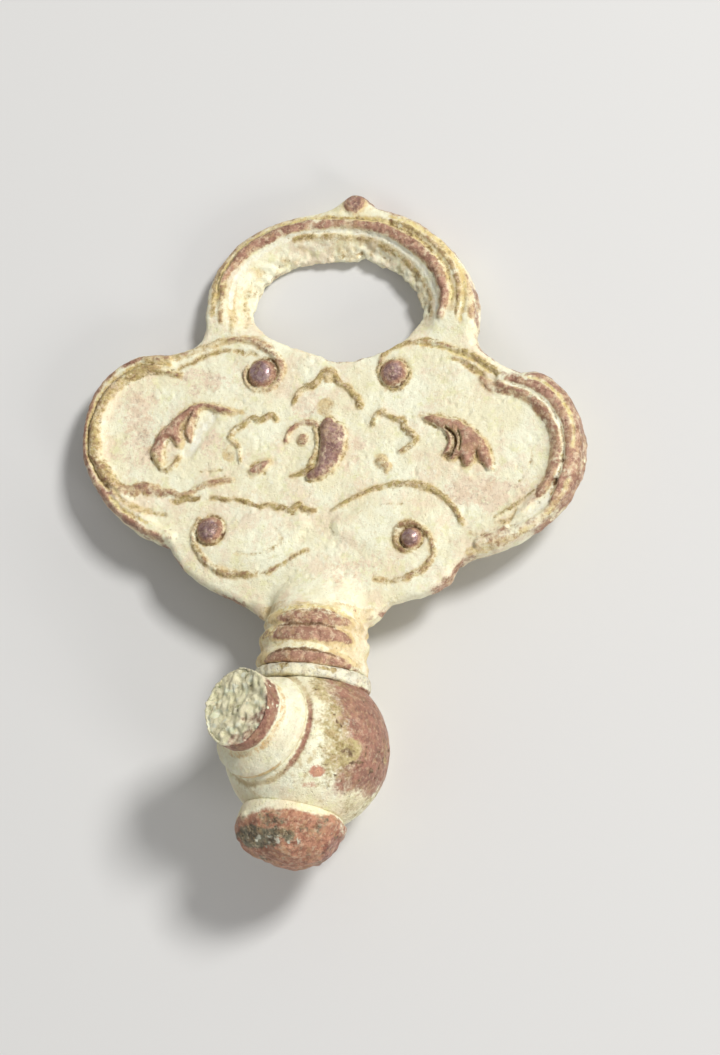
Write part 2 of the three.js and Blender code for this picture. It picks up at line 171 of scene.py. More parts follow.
FACE_LINES = [
    # left lobe: outer edge, gold line, inner bead and the lines of its foot
    ([(-15.3, 29.25), (-17.1, 28.4), (-18.3, 27.2), (-19.0, 25.8), (-19.2, 24.2), (-19.2, 22.8),
      (-18.85, 21.4), (-18.1, 19.9), (-16.9, 18.4), (-15.4, 17.1), (-13.9, 16.2), (-12.5, 15.6)],
     [0.1, 0.25, 0.34, 0.34, 0.34, 0.3, 0.25, 0.2], 0.06, dict(bare=0.85)),
    ([(-13.2, 28.8), (-15.0, 28.75), (-16.3, 28.2), (-17.3, 27.4), (-18.2, 26.3), (-18.75, 25.0),
      (-18.9, 23.6), (-18.75, 22.2), (-18.25, 21.0), (-17.5, 19.9), (-16.8, 19.1)],
     [0.08, 0.11, 0.11, 0.08], -0.12, GOLD),
    ([(-12.3, 27.95), (-13.2, 28.15), (-14.1, 28.4), (-15.1, 28.3), (-16.1, 27.8), (-17.0, 27.2),
      (-17.75, 26.3), (-18.25, 25.2), (-18.45, 24.1), (-18.4, 23.0), (-18.15, 21.9),
      (-17.6, 20.9), (-16.9, 20.0), (-16.2, 19.4)],
     [0.12, 0.3, 0.3, 0.32, 0.34, 0.4, 0.42, 0.3], 0.2, dict(olive=0.75, bare=0.35)),
    ([(-16.3, 19.1), (-15.7, 18.45), (-14.9, 17.95), (-14.0, 17.65), (-13.1, 17.45), (-12.3, 17.3)],
     [0.14, 0.14, 0.1, 0.05], -0.1, FAINT),
    ([(-16.6, 18.5), (-15.8, 17.8), (-14.8, 17.2), (-13.6, 16.75)], [0.1, 0.1, 0.05], -0.08, GOLD),
    # wavy band across the foot of the left field
    ([(-15.9, 19.35), (-15.1, 19.15), (-14.4, 19.4), (-13.6, 19.2), (-12.8, 19.05), (-12.0, 19.15),
      (-11.3, 18.9), (-10.7, 18.95), (-10.2, 19.3), (-9.4, 19.65), (-8.6, 19.85), (-7.9, 20.0),
      (-7.3, 20.05)],
     [0.24, 0.5, 0.44, 0.28, 0.22, 0.26, 0.2, 0.18, 0.08], 0.16, dict(bare=0.6, olive=0.5)),
    ([(-11.9, 18.5), (-11.4, 18.35), (-10.9, 18.6), (-10.4, 18.5), (-9.9, 18.65)],
     [0.1, 0.18, 0.1], -0.1, DIRT),
    ([(-8.9, 18.7), (-8.2, 18.72), (-7.5, 18.5), (-6.9, 18.57), (-6.2, 18.45), (-5.6, 18.2),
      (-5.0, 18.05), (-4.3, 18.12), (-3.7, 17.95), (-3.1, 17.85), (-2.6, 17.75), (-2.1, 18.15),
      (-1.7, 17.9), (-1.2, 17.75), (-0.7, 17.8)],
     [0.08, 0.16, 0.1, 0.14, 0.1, 0.12, 0.2, 0.24, 0.18, 0.08], 0.1, DIRT),
    ([(-9.9, 20.6), (-9.0, 20.72), (-8.2, 20.8)], [0.04, 0.07, 0.03], -0.05, FAINT),
    # upper left scroll: ridge, band that curls round its eye, and the small lines under it
    ([(-15.2, 29.1), (-13.5, 29.2), (-12.0, 29.6), (-11.0, 29.95), (-10.0, 30.35), (-9.0, 30.62),
      (-8.3, 30.72)], [0.12, 0.2, 0.2, 0.2, 0.16], 0.14, dict(olive=0.4)),
    ([(-12.5, 28.5), (-11.9, 28.75), (-11.3, 29.0), (-10.7, 29.4), (-10.0, 29.7), (-9.2, 29.85),
      (-8.6, 29.9)], [0.08, 0.13, 0.13, 0.05], -0.12, dict(olive=0.7)),
    ([(-8.7, 30.66), (-7.8, 30.75), (-7.0, 30.65), (-6.2, 30.35), (-5.5, 29.9), (-4.9, 29.3),
      (-4.5, 28.6), (-4.45, 28.0), (-4.7, 27.4), (-5.2, 27.0), (-5.9, 26.85), (-6.6, 27.05),
      (-7.1, 27.5), (-7.25, 28.1), (-7.1, 28.6)],
     [0.1, 0.2, 0.26, 0.3, 0.3, 0.26, 0.2, 0.17, 0.14, 0.08], 0.2, dict(bare=0.6, olive=0.35)),
    ([(-8.2, 29.8), (-7.7, 29.68), (-7.35, 29.55), (-6.9, 29.75), (-6.5, 29.6)],
     [0.05, 0.13, 0.13, 0.06], -0.1, dict(olive=0.6, yellow=0.6)),
    # upper right scroll and the two beads of the right lobe
    ([(5.35, 28.4), (5.4, 27.8), (5.0, 27.15), (4.3, 26.95), (3.6, 27.2), (3.15, 27.75),
      (2.98, 28.4), (3.1, 29.1), (3.55, 29.7), (4.2, 30.1), (5.1, 30.4), (6.2, 30.5), (7.2, 30.4),
      (8.2, 30.15), (9.2, 29.85), (10.1, 29.5), (10.9, 29.05), (11.6, 28.55), (12.3, 28.0)],
     [0.08, 0.12, 0.14, 0.14, 0.13, 0.16, 0.2, 0.16, 0.14, 0.14, 0.1], 0.14, dict(olive=0.8)),
    ([(6.0, 30.25), (7.5, 30.1), (9.0, 29.6), (10.2, 29.1), (11.2, 28.5), (12.1, 27.9)],
     [0.06, 0.1, 0.1, 0.06], -0.08, GOLD),
    ([(8.2, 29.3), (9.0, 29.15), (9.6, 28.85), (10.3, 28.45), (10.9, 28.1), (11.2, 27.6)],
     [0.04, 0.08, 0.2, 0.2, 0.18, 0.1], -0.1, dict(olive=0.75)),
    ([(11.0, 27.7), (11.5, 27.25), (12.2, 27.05), (13.0, 26.9), (14.0, 26.5), (15.0, 25.95),
      (15.85, 25.2), (16.5, 24.4), (16.95, 23.4), (17.1, 22.4), (17.05, 21.4), (16.8, 20.4),
      (16.45, 19.6), (16.1, 19.1)],
     [0.18, 0.4, 0.36, 0.34, 0.36, 0.4, 0.42, 0.44, 0.44, 0.4, 0.2], 0.13,
     dict(bare=0.72, olive=0.3)),
    ([(12.9, 27.6), (14.2, 27.4), (15.5, 26.95), (16.7, 25.9), (17.5, 24.8), (18.0, 23.4),
      (18.1, 22.0), (17.9, 20.8), (17.5, 19.6), (17.1, 18.8)],
     [0.1, 0.26, 0.34, 0.38, 0.4, 0.4, 0.34, 0.2], 0.12, dict(bare=0.9)),
    ([(14.4, 28.0), (15.6, 27.8), (16.8, 26.95), (17.8, 25.7), (18.35, 24.4), (18.6, 23.0),
      (18.6, 21.8), (18.4, 20.8)],
     [0.1, 0.16, 0.24, 0.3, 0.3], 0.04, dict(bare=0.85)),
    # pale groove between the beads: pale patina and a painted highlight
    ([(12.9, 27.3), (14.1, 27.02), (15.3, 26.45), (16.35, 25.5), (17.1, 24.3), (17.55, 23.1),
      (17.65, 21.9), (17.5, 20.8), (17.15, 19.9)],
     [0.07, 0.09, 0.09, 0.09, 0.14], -0.08, PALE_AND_HIGHLIGHT),
    ([(14.6, 27.75), (15.8, 27.3), (16.9, 26.4), (17.8, 25.2), (18.3, 23.9), (18.4, 22.6)],
     [0.04, 0.07, 0.07, 0.03], -0.06, GOLD),
    # pale groove in the lobe's foot: pale patina and a painted highlight
    ([(17.3, 20.1), (16.95, 19.2), (16.3, 18.5), (15.5, 17.8), (14.6, 17.1), (14.0, 16.75)],
     [0.1, 0.2, 0.26, 0.26, 0.1], -0.05, PALE_AND_HIGHLIGHT),
    ([(12.9, 17.3), (13.6, 17.85), (14.5, 18.45), (15.3, 19.05), (15.7, 19.4)],
     [0.05, 0.09, 0.09, 0.04], 0.1, dict(olive=0.6)),
    ([(14.4, 17.9), (14.2, 17.4), (13.8, 17.1), (13.0, 17.0)], [0.05, 0.1, 0.05], -0.08, FAINT),
    ([(18.3, 20.0), (17.8, 18.8), (16.8, 17.5), (15.3, 16.25), (13.8, 15.5), (12.3, 15.1),
      (11.2, 14.7)],
     [0.2, 0.3, 0.34, 0.34, 0.3, 0.2], 0.05, dict(yellow=0.5, bare=0.3, olive=0.25)),
    ([(11.2, 16.15), (11.9, 16.1), (12.7, 15.95), (13.5, 16.0)], [0.05, 0.12, 0.05], 0.06,
     dict(bare=0.5)),
    # long curve over the lower right scroll
    ([(0.5, 17.8), (1.1, 18.2), (1.9, 18.68), (2.9, 19.15), (3.9, 19.55), (4.9, 19.82),
      (5.9, 19.85), (6.9, 19.72), (7.8, 19.5), (8.5, 19.15), (9.1, 18.7), (9.7, 18.1),
      (10.1, 17.5), (10.4, 16.9)],
     [0.06, 0.1, 0.1, 0.15, 0.22, 0.22, 0.2, 0.14, 0.16, 0.22], 0.14, dict(olive=0.8, bare=0.1)),
    ([(4.1, 18.15), (5.1, 18.28), (5.9, 18.3)], [0.03, 0.07, 0.03], -0.05, FAINT),
    # lower left scroll and the thin line inside it
    ([(-9.7, 17.0), (-9.95, 16.3), (-9.98, 15.5), (-9.75, 14.9), (-9.35, 14.35), (-8.85, 13.85),
      (-8.2, 13.42), (-7.5, 13.1), (-6.8, 12.95), (-6.0, 12.93), (-5.2, 12.97), (-4.4, 13.08),
      (-3.6, 13.3), (-3.0, 13.65), (-2.4, 14.05), (-1.8, 14.45), (-1.1, 14.9)],
     [0.14, 0.2, 0.24, 0.26, 0.26, 0.22, 0.16, 0.1, 0.08, 0.05], 0.16, dict(olive=0.7, bare=0.35)),
    ([(-6.5, 14.5), (-5.5, 14.38), (-4.6, 14.52), (-3.8, 14.9), (-3.25, 15.35), (-3.1, 15.8),
      (-3.3, 16.15), (-3.7, 16.5)], [0.04, 0.08, 0.08, 0.05], -0.08, FAINT),
    # lower right scroll, which starts as a ring round its eye
    ([(6.95, 14.9), (6.3, 14.85), (5.8, 15.15), (5.55, 15.75), (5.65, 16.35), (6.05, 16.75),
      (6.65, 16.88), (7.25, 16.72), (7.85, 16.35), (8.25, 15.85), (8.5, 15.2), (8.55, 14.6),
      (8.35, 14.1), (8.0, 13.7), (7.5, 13.32), (6.9, 13.0), (6.3, 12.75), (5.6, 12.62),
      (4.9, 12.62), (4.2, 12.78)],
     [0.16, 0.2, 0.2, 0.17, 0.16, 0.16, 0.2, 0.22, 0.14, 0.06], 0.14, dict(olive=0.7, bare=0.35)),
    # left leaf's curl and second finger
    ([(-10.7, 25.1), (-11.0, 24.4), (-11.15, 23.7), (-11.0, 23.1)], [0.22, 0.28, 0.26, 0.14], 0.3,
     WORN),
    ([(-13.5, 21.8), (-13.2, 21.2), (-12.8, 20.85), (-12.3, 20.95), (-11.9, 21.3), (-11.75, 21.7)],
     [0.2, 0.2, 0.16, 0.1], 0.2, dict(olive=0.6, yellow=0.4)),
    # right leaf's folds
    ([(8.7, 24.0), (9.2, 23.6), (9.45, 23.1), (9.45, 22.5), (9.2, 22.0), (8.8, 21.9)],
     [0.1, 0.16, 0.18, 0.14], -0.22, DIRT),
    ([(9.7, 23.7), (9.9, 23.0), (9.95, 22.3)], [0.05, 0.08, 0.05], -0.14, dict(olive=0.6)),
    # centre leaf's curl, inner line and foot
    ([(-3.5, 23.0), (-3.35, 23.6), (-3.0, 24.1), (-2.4, 24.4), (-1.8, 24.4), (-1.3, 24.25)],
     [0.16, 0.14, 0.14, 0.2], 0.16, WORN),
    ([(-1.5, 24.0), (-1.2, 23.5), (-1.1, 22.9), (-1.15, 22.2), (-1.45, 21.6), (-1.7, 21.2)],
     [0.1, 0.16, 0.16, 0.08], 0.18, dict(yellow=0.5, olive=0.5)),
    ([(-2.9, 20.35), (-2.3, 20.42), (-1.8, 20.7), (-1.4, 21.1)], [0.06, 0.15, 0.15], 0.14, DIRT),
    # flower outlines: top, left and right
    ([(-3.3, 25.7), (-3.15, 26.3), (-2.85, 26.8), (-2.35, 27.1), (-1.85, 27.25), (-1.5, 27.7),
      (-1.2, 28.15), (-0.75, 28.35), (-0.35, 28.15), (-0.1, 27.7), (0.15, 27.4), (0.6, 27.15),
      (0.95, 26.85), (1.2, 26.45), (1.65, 26.2), (1.9, 25.7)],
     [0.12, 0.17, 0.22, 0.18, 0.2, 0.18, 0.16, 0.22], 0.15, dict(olive=0.78)),
    ([(-4.4, 24.65), (-4.85, 24.98), (-5.3, 24.75), (-5.7, 24.58), (-6.2, 24.68), (-6.65, 24.45),
      (-6.95, 24.15), (-7.45, 24.0), (-7.8, 23.6), (-7.85, 23.1), (-7.5, 22.8), (-7.2, 22.5),
      (-7.05, 22.0), (-6.95, 21.4)], [0.12, 0.18, 0.17, 0.22, 0.24, 0.16, 0.1], 0.15,
     dict(olive=0.78, bare=0.2)),
    ([(3.0, 24.2), (3.15, 24.8), (3.6, 25.2), (4.05, 25.08), (4.45, 24.8), (5.0, 24.6),
      (5.4, 24.3), (5.5, 23.9), (5.95, 23.6), (6.25, 23.3), (6.15, 22.85), (5.75, 22.5),
      (5.15, 22.25)], [0.14, 0.2, 0.2, 0.26, 0.26, 0.14], 0.17, dict(olive=0.78)),
    ([(0.9, 15.9), (0.4, 16.6)], [0.03, 0.04], -0.04, FAINT),
    ([(15.3, 22.6), (15.25, 21.6), (14.9, 20.6), (14.5, 20.0)], [0.02, 0.06, 0.02], -0.05, FAINT),
]
RING_LINES = [
    ([(-10.2, 34.6), (-9.6, 36.6), (-8.3, 38.15), (-6.1, 39.35), (-4.2, 39.95)],
     [0.15, 0.3, 0.25, 0.1], 0.0, dict(bare=0.45)),
    ([(3.4, 40.0), (5.6, 38.95), (7.5, 37.5), (8.8, 35.9), (9.6, 34.2), (9.9, 32.4)],
     [0.1, 0.2, 0.28, 0.28, 0.2], 0.0, dict(bare=0.5)),
    ([(-9.75, 34.6), (-9.5, 35.5), (-9.0, 36.35), (-8.3, 37.15), (-7.4, 37.85), (-6.4, 38.4),
      (-5.3, 38.85), (-4.2, 39.15), (-3.1, 39.35), (-2.0, 39.42), (-1.0, 39.4), (0.0, 39.35),
      (1.0, 39.3), (2.0, 39.1), (3.0, 38.75), (4.0, 38.25), (5.0, 37.65), (5.9, 37.0),
      (6.6, 36.3), (7.15, 35.5), (7.5, 34.7), (7.65, 33.9), (7.6, 33.1), (7.45, 32.4)],
     [0.24, 0.36, 0.46, 0.5, 0.5, 0.44, 0.38, 0.4, 0.48, 0.52, 0.52, 0.46, 0.36, 0.24], 0.22, BROWN),
    ([(-10.2, 32.6), (-10.15, 34.2), (-9.85, 35.4)], [0.1, 0.18, 0.1], 0.03,
     dict(olive=0.6, yellow=0.5)),
    ([(-9.5, 32.0), (-9.6, 33.4), (-9.45, 34.8)], [0.08, 0.2, 0.16], 0.08, dict(olive=0.6, bare=0.45)),
    ([(-8.6, 31.3), (-8.62, 32.4), (-8.85, 33.6), (-8.75, 35.0)], [0.04, 0.16, 0.16, 0.04], 0.06,
     dict(olive=0.5, bare=0.15)),
    ([(-7.7, 31.6), (-7.8, 32.5), (-8.05, 33.6), (-7.7, 35.0)], [0.03, 0.1, 0.1, 0.03], -0.05, FAINT),
    ([(-10.0, 33.6), (-9.75, 35.0), (-9.3, 36.3), (-8.5, 37.45), (-7.0, 38.55), (-5.0, 39.4),
      (-3.0, 39.8), (-1.5, 39.85), (0.0, 39.8), (1.0, 39.75), (2.1, 39.6), (3.1, 39.3),
      (4.3, 38.75), (5.5, 38.05), (6.5, 37.2), (7.35, 36.3), (7.9, 35.3), (8.2, 34.3),
      (8.2, 33.5)],
     [0.1, 0.1, 0.1, 0.1, 0.13, 0.12, 0.12, 0.1], -0.1, GOLD),
    ([(2.9, 39.6), (4.3, 39.15), (5.7, 38.4), (6.9, 37.45), (7.8, 36.4), (8.4, 35.3),
      (8.7, 34.2), (8.75, 33.2), (8.65, 32.5)],
     [0.06, 0.14, 0.16, 0.16, 0.14, 0.06], 0.1, dict(olive=0.8, bare=0.35)),
    ([(2.9, 39.95), (4.6, 39.35), (6.0, 38.6), (7.2, 37.7), (8.15, 36.6), (8.8, 35.4),
      (9.1, 34.2), (9.1, 33.0), (8.95, 32.0)],
     [0.06, 0.12, 0.12, 0.12, 0.1], -0.08, GOLD),
    ([(-8.9, 33.2), (-8.85, 34.2), (-8.6, 35.2), (-8.0, 36.2), (-7.1, 37.1), (-6.0, 37.8),
      (-4.8, 38.35), (-3.6, 38.7), (-2.4, 38.85), (-1.2, 38.85), (-0.3, 38.85), (0.7, 38.8),
      (1.7, 38.6), (2.7, 38.3), (3.6, 37.75), (4.6, 37.05), (5.5, 36.25), (6.2, 35.4),
      (6.7, 34.5), (6.95, 33.6), (6.95, 32.7)],
     [0.1, 0.14, 0.14, 0.12, 0.13, 0.15, 0.15, 0.12], -0.06, dict(pale=0.9, yellow=0.35)),
    ([(-4.4, 38.3), (-3.4, 38.5), (-2.2, 38.5), (-1.2, 38.5), (-0.2, 38.45), (0.8, 38.35),
      (1.8, 38.1), (2.8, 37.6), (3.8, 36.95), (4.8, 36.15), (5.5, 35.4), (6.05, 34.6),
      (6.35, 33.8), (6.45, 33.0), (6.5, 32.3)],
     [0.12, 0.16, 0.1, 0.1, 0.1, 0.1, 0.08], 0.05, dict(olive=0.65)),
]
# Raised patches of the relief: edge points, height, width of the rounded edge, and finish
PATCHES = [
    ([(-7.2, 25.2), (-8.2, 25.42), (-9.1, 25.7), (-10.0, 25.82), (-11.0, 25.6), (-11.9, 25.1),
      (-12.6, 24.45), (-13.3, 23.7), (-13.75, 22.9), (-13.85, 22.2), (-13.7, 21.6),
      (-13.35, 21.15), (-12.95, 21.1), (-12.8, 21.6), (-12.9, 22.3), (-12.8, 22.9),
      (-12.5, 23.1), (-12.2, 22.9), (-11.95, 22.6), (-11.65, 22.55), (-11.55, 22.9),
      (-11.8, 23.4), (-11.8, 24.0), (-11.45, 24.5), (-11.1, 24.85), (-10.6, 25.15),
      (-10.0, 25.45), (-9.3, 25.25), (-8.5, 25.1)], 0.34, 0.5, dict(bare=0.85, olive=0.15)),
    ([(6.6, 24.8), (7.4, 24.9), (8.4, 24.85), (9.4, 24.65), (10.2, 24.25), (10.9, 23.75),
      (11.5, 23.1), (12.0, 22.4), (12.3, 21.7), (12.45, 21.0), (12.05, 20.95), (11.7, 21.35),
      (11.35, 21.6), (11.15, 22.3), (11.0, 21.55), (10.75, 21.25), (10.45, 21.1), (10.15, 21.4),
      (9.95, 21.85), (9.6, 21.75), (9.3, 21.6), (8.9, 21.7), (8.5, 22.0), (8.75, 22.4),
      (8.85, 22.9), (8.75, 23.4), (8.4, 23.8), (7.9, 24.05), (7.3, 24.4)], 0.36, 0.5,
     dict(bare=0.95)),
    ([(-0.6, 24.8), (-0.1, 24.75), (0.25, 24.45), (0.7, 24.25), (0.95, 23.7), (1.05, 23.0),
      (1.05, 22.2), (0.8, 21.5), (0.45, 21.0), (-0.05, 20.55), (-0.55, 20.2), (-1.1, 20.05),
      (-1.6, 20.1), (-1.7, 20.4), (-1.35, 20.7), (-1.1, 21.0), (-0.95, 21.5), (-0.85, 22.1),
      (-0.85, 22.8), (-0.9, 23.5), (-1.0, 24.2)], 0.5, 0.8, dict(bare=0.8, polish=0.55)),
    ([(3.5, 21.75), (3.8, 21.9), (4.1, 21.8), (4.45, 21.45), (4.65, 21.05), (4.35, 20.6),
      (4.1, 20.85), (3.75, 21.1), (3.5, 21.4)], 0.18, 0.35, dict(bare=0.35, olive=0.45)),
    ([(-6.2, 20.75), (-5.9, 20.4), (-5.3, 20.5), (-4.8, 20.8), (-4.5, 21.3), (-4.6, 21.6),
      (-5.1, 21.5), (-5.8, 21.2)], 0.2, 0.4, dict(bare=0.8)),
]
# Round eyes: centre, radius, height and finish
EYES = [
    ((-5.85, 28.05), 1.08, 0.75, dict(bare=1.0, polish=1.0)),
    ((4.25, 28.1), 1.02, 0.7, dict(bare=1.0, polish=0.62)),
    ((-8.65, 16.2), 1.05, 0.6, dict(bare=1.0, polish=0.7)),
    ((6.85, 15.75), 0.78, 0.6, dict(bare=1.0, polish=0.9)),
    ((-2.25, 23.1), 0.46, 0.26, dict(bare=0.5, olive=0.45)),
    ((-0.72, 27.85), 0.4, 0.2, dict(bare=0.25, olive=0.45)),
    ((-0.75, 25.55), 0.6, 0.03, dict(bare=0.25)),
    ((-7.7, 22.1), 0.6, 0.04, dict(bare=0.14)),
]
# Pinkish patches of the field's patina: centre, reach across and along the key, and strength
BLUSHES = [
    ((-15.2, 23.4), 2.6, 3.4, 0.62),
    ((-10.6, 27.6), 3.6, 1.3, 0.5),
    ((11.6, 19.4), 3.8, 1.6, 0.72),
    ((2.0, 22.6), 1.2, 1.6, 0.6),
    ((-2.3, 25.6), 1.3, 1.0, 0.5),
    ((-6.2, 15.6), 2.6, 1.5, 0.5),
    ((-8.9, 22.7), 1.9, 1.5, 0.5),
    ((3.0, 13.6), 3.2, 1.3, 0.45),
]
KNOB = ((0.02, 41.02), 0.84, 0.3, dict(bare=0.85, polish=0.4, dark=0.3))


def smooth_line(points, steps=6):
    """A rounded line through the points."""
    p = np.array(points, float)
    q = np.vstack([2 * p[0] - p[1], p, 2 * p[-1] - p[-2]])
    line = []
    for a, b, c, d in zip(q, q[1:], q[2:], q[3:]):
        for t in np.linspace(0, 1, steps, endpoint=False):
            line.append(
                b
                + 0.5 * t * (c - a)
                + 0.5 * t * t * (2 * a - 5 * b + 4 * c - d)
                + 0.5 * t**3 * (3 * b - a - 3 * c + d)
            )
    line.append(p[-1])
    return np.array(line)


def step(value, low, high):
    """0 below low, 1 above high, with a soft rise between."""
    t = np.clip((value - low) / (high - low), 0, 1)
    return t * t * (3 - 2 * t)


def lumps(points, size, seed):
    """Smooth random values from -1 to 1 whose lumps are about size across."""
    table = np.random.default_rng(SEED * 1000 + seed).uniform(-1, 1, (LATTICE,) * 3)
    q = points / size + 100
    corner = np.floor(q).astype(int)
    t = q - corner
    t = t * t * (3 - 2 * t)
    value = np.zeros(len(points))
    for i in (0, 1):
        for j in (0, 1):
            for k in (0, 1):
                weight = np.ones(len(points))
                for n, side in enumerate((i, j, k)):
                    weight *= t[:, n] if side else 1 - t[:, n]
                a, b, c = ((corner + (i, j, k)) % LATTICE).T
                value += weight * table[a, b, c]
    return value


def waves(points, *layers):
    """Lumps of several sizes added up, each given as (height, size, seed)."""
    return sum(height * lumps(points, size, seed) for height, size, seed in layers)


def hump(value, width):
    """1 at nought, and falling off within width on both sides."""
    return np.exp(-((value / width) ** 2))


def rounded(distance, radius):
    """A quarter circle, from 0 at an edge to 1 at the radius from it."""
    return np.sqrt(1 - (1 - np.clip(distance / radius, 0, 1)) ** 2)


def to_line(xy, line):
    """Distance of each place from a line, and how far along the line it is, from 0 to 1."""
    lengths = np.linalg.norm(np.diff(line, axis=0), axis=1)
    starts = np.concatenate([[0], np.cumsum(lengths)])
    nearest = np.full(len(xy), 1e9)
    along = np.zeros(len(xy))
    for a, b, length, start in zip(line, line[1:], lengths, starts):
        if length < 1e-9:
            continue
        t = np.clip((xy - a) @ (b - a) / length**2, 0, 1)
        distance = np.linalg.norm(xy - a - t[:, None] * (b - a), axis=1)
        closer = distance < nearest
        nearest[closer] = distance[closer]
        along[closer] = (start + t[closer] * length) / starts[-1]
    return nearest, along


def within(xy, loop):
    """True for the places inside a closed loop of points."""
    inside = np.zeros(len(xy), bool)
    for a, b in zip(loop, np.roll(loop, -1, axis=0)):
        if a[1] == b[1]:
            continue
        crosses = (a[1] > xy[:, 1]) != (b[1] > xy[:, 1])
        x = a[0] + (xy[:, 1] - a[1]) * (b[0] - a[0]) / (b[1] - a[1])
        inside ^= crosses & (xy[:, 0] < x)
    return inside


def near_box(xy, line, reach):
    """The places within reach of the box round a line."""
    low, high = line.min(0) - reach, line.max(0) + reach
    return np.nonzero(((xy > low) & (xy < high)).all(1))[0]


def paint(masks, where, strength, finish):
    """Lays a finish over what is there."""
    for name in MASKS:
        masks[name][where] += (finish.get(name, 0) - masks[name][where]) * strength


def lift(masks, name, values, where=slice(None)):
    """Raises a mask to the values where it is lower."""
    masks[name][where] = np.maximum(masks[name][where], values)


EDGE = np.vstack([smooth_line(run)[:-1] for run in EDGE_RUNS] + [np.array([EDGE_RUNS[-1][-1]])])
EYE = smooth_line(EYE_EDGE + EYE_EDGE[:1], 4)[:-1]
EYE_LOOP = np.vstack([EYE, EYE[:1]])


def clear_of_neck(xy, low, high):
    """0 on the oval where the neck meets the plate, 1 away from it."""
    middle, across, along_key = NECK_OVAL
    return step(np.hypot(xy[:, 0] / across, (xy[:, 1] - middle) / along_key), low, high)


def wander(flat):
    """Places shifted a little, so that the lines drawn through them waver like a worn casting."""
    wide = np.c_[lumps(flat, 1.1, 81), lumps(flat, 1.1, 82)]
    fine = np.c_[lumps(flat, 0.42, 83), lumps(flat, 0.42, 84)]
    return flat[:, :2] + 0.07 * wide + 0.05 * fine


def lay_blushes(xy, flat, masks):
    """Pinkish patches of the patina, under all the rest."""
    ragged = waves(flat, (0.45, 1.6, 94), (0.3, 0.6, 95))
    for (x, y), across, along_key, strength in BLUSHES:
        out = np.hypot((xy[:, 0] - x) / across, (xy[:, 1] - y) / along_key) + ragged
        lift(masks, "pink", strength * (1 - step(out, 0.4, 1.1)))


def lay_broad_forms(xy, worn, mottle, masks):
    """Height of the broad, soft forms of the face."""
    broad = np.zeros(len(xy))
    for points, widths, rise, finish in BROAD_FORMS:
        line = smooth_line(points)
        near = near_box(xy, line, 2.2 * max(widths))
        distance, along = to_line(worn[near], line)
        width = np.interp(along, np.linspace(0, 1, len(widths)), widths)
        share = 1 - step(distance / width, 0.5, 1.4)
        broad[near] += RELIEF * rise * share
        paint(masks, near, share * mottle[near], finish)
    return broad


def lay_patches(xy, worn, mottle, masks, raised, halo):
    """The domed leaves and buds."""
    for loop, rise, rounding, finish in PATCHES:
        line = smooth_line(loop + loop[:1], 4)
        near = near_box(xy, line, 1.0)
        distance = to_line(worn[near], line)[0]
        inside = np.where(within(worn[near], line[:-1]), distance, -distance)
        dome = RELIEF * rise * rounded(inside, rounding) * (0.8 + 0.2 * mottle[near])
        raised[near] = np.maximum(raised[near], dome)
        paint(masks, near, step(inside, -0.12, 0.2) * (0.7 + 0.3 * mottle[near]), finish)
        halo[near] = np.maximum(halo[near], hump(np.clip(-inside, 0, None), HALO_REACH))


def lay_lines(xy, worn, mottle, masks, raised, cut, halo):
    """The ridges, beads and grooves, each over those before it."""
    for points, widths, rise, finish in FACE_LINES + RING_LINES:
        line = smooth_line(points)
        near = near_box(xy, line, 2 * max(widths) + 0.6)
        distance, along = to_line(worn[near], line)
        width = np.maximum(np.interp(along, np.linspace(0, 1, len(widths)), widths), 0.02)
        width = width * (0.8 + 0.35 * mottle[near])
        out = distance / width
        if rise > 0:
            crest = np.clip(1 - out**2, 0, 1) ** 0.7 * (0.7 + 0.3 * mottle[near])
            raised[near] = np.maximum(raised[near], RELIEF * rise * crest)
        else:
            cut[near] = np.maximum(cut[near], -RELIEF * rise * np.exp(-1.4 * out**2))
            raised[near] *= 1 - 0.8 * np.exp(-2 * out**2)
        share = 1 - step((distance - 0.55 * width) / (0.6 * width + 0.14), 0, 1)
        paint(masks, near, share * (0.3 + 0.7 * mottle[near]), finish)
        if "pale" not in finish:
            beside = hump(np.clip(distance - 0.8 * width, 0, None), 0.24)
            halo[near] = np.maximum(halo[near], beside * min(1, 8 * max(widths)))


def lay_eyes(xy, mottle, masks, raised, cut, halo):
    """The round eyes of the scrolls and flowers, each in a gutter painted olive and dark, and the finial's knob.
    """
    for centre, radius, rise, finish in EYES + [KNOB]:
        out = np.linalg.norm(xy - centre, axis=1) / radius
        near = np.nonzero(out < 1.8)[0]
        out = out[near]
        dome = np.sqrt(np.clip(1 - out**2, 0, 1))
        raised[near] = np.maximum(raised[near], rise * dome)
        gutter = hump(out - 1.1, 0.13) * (rise > 0.3)
        cut[near] = np.maximum(cut[near], 0.12 * gutter)
        paint(masks, near, gutter * mottle[near], dict(olive=0.5, dark=0.35))
        paint(masks, near, 1 - step(out, 0.84, 1.1), finish)
        # the polish is worn through at the eye's edge
        masks["polish"][near] *= 1 - 0.75 * step(out + 0.35 * (1 - mottle[near]), 0.62, 0.95)
        halo[near] = np.maximum(halo[near], hump(np.clip(out - 1, 0, None), HALO_REACH))


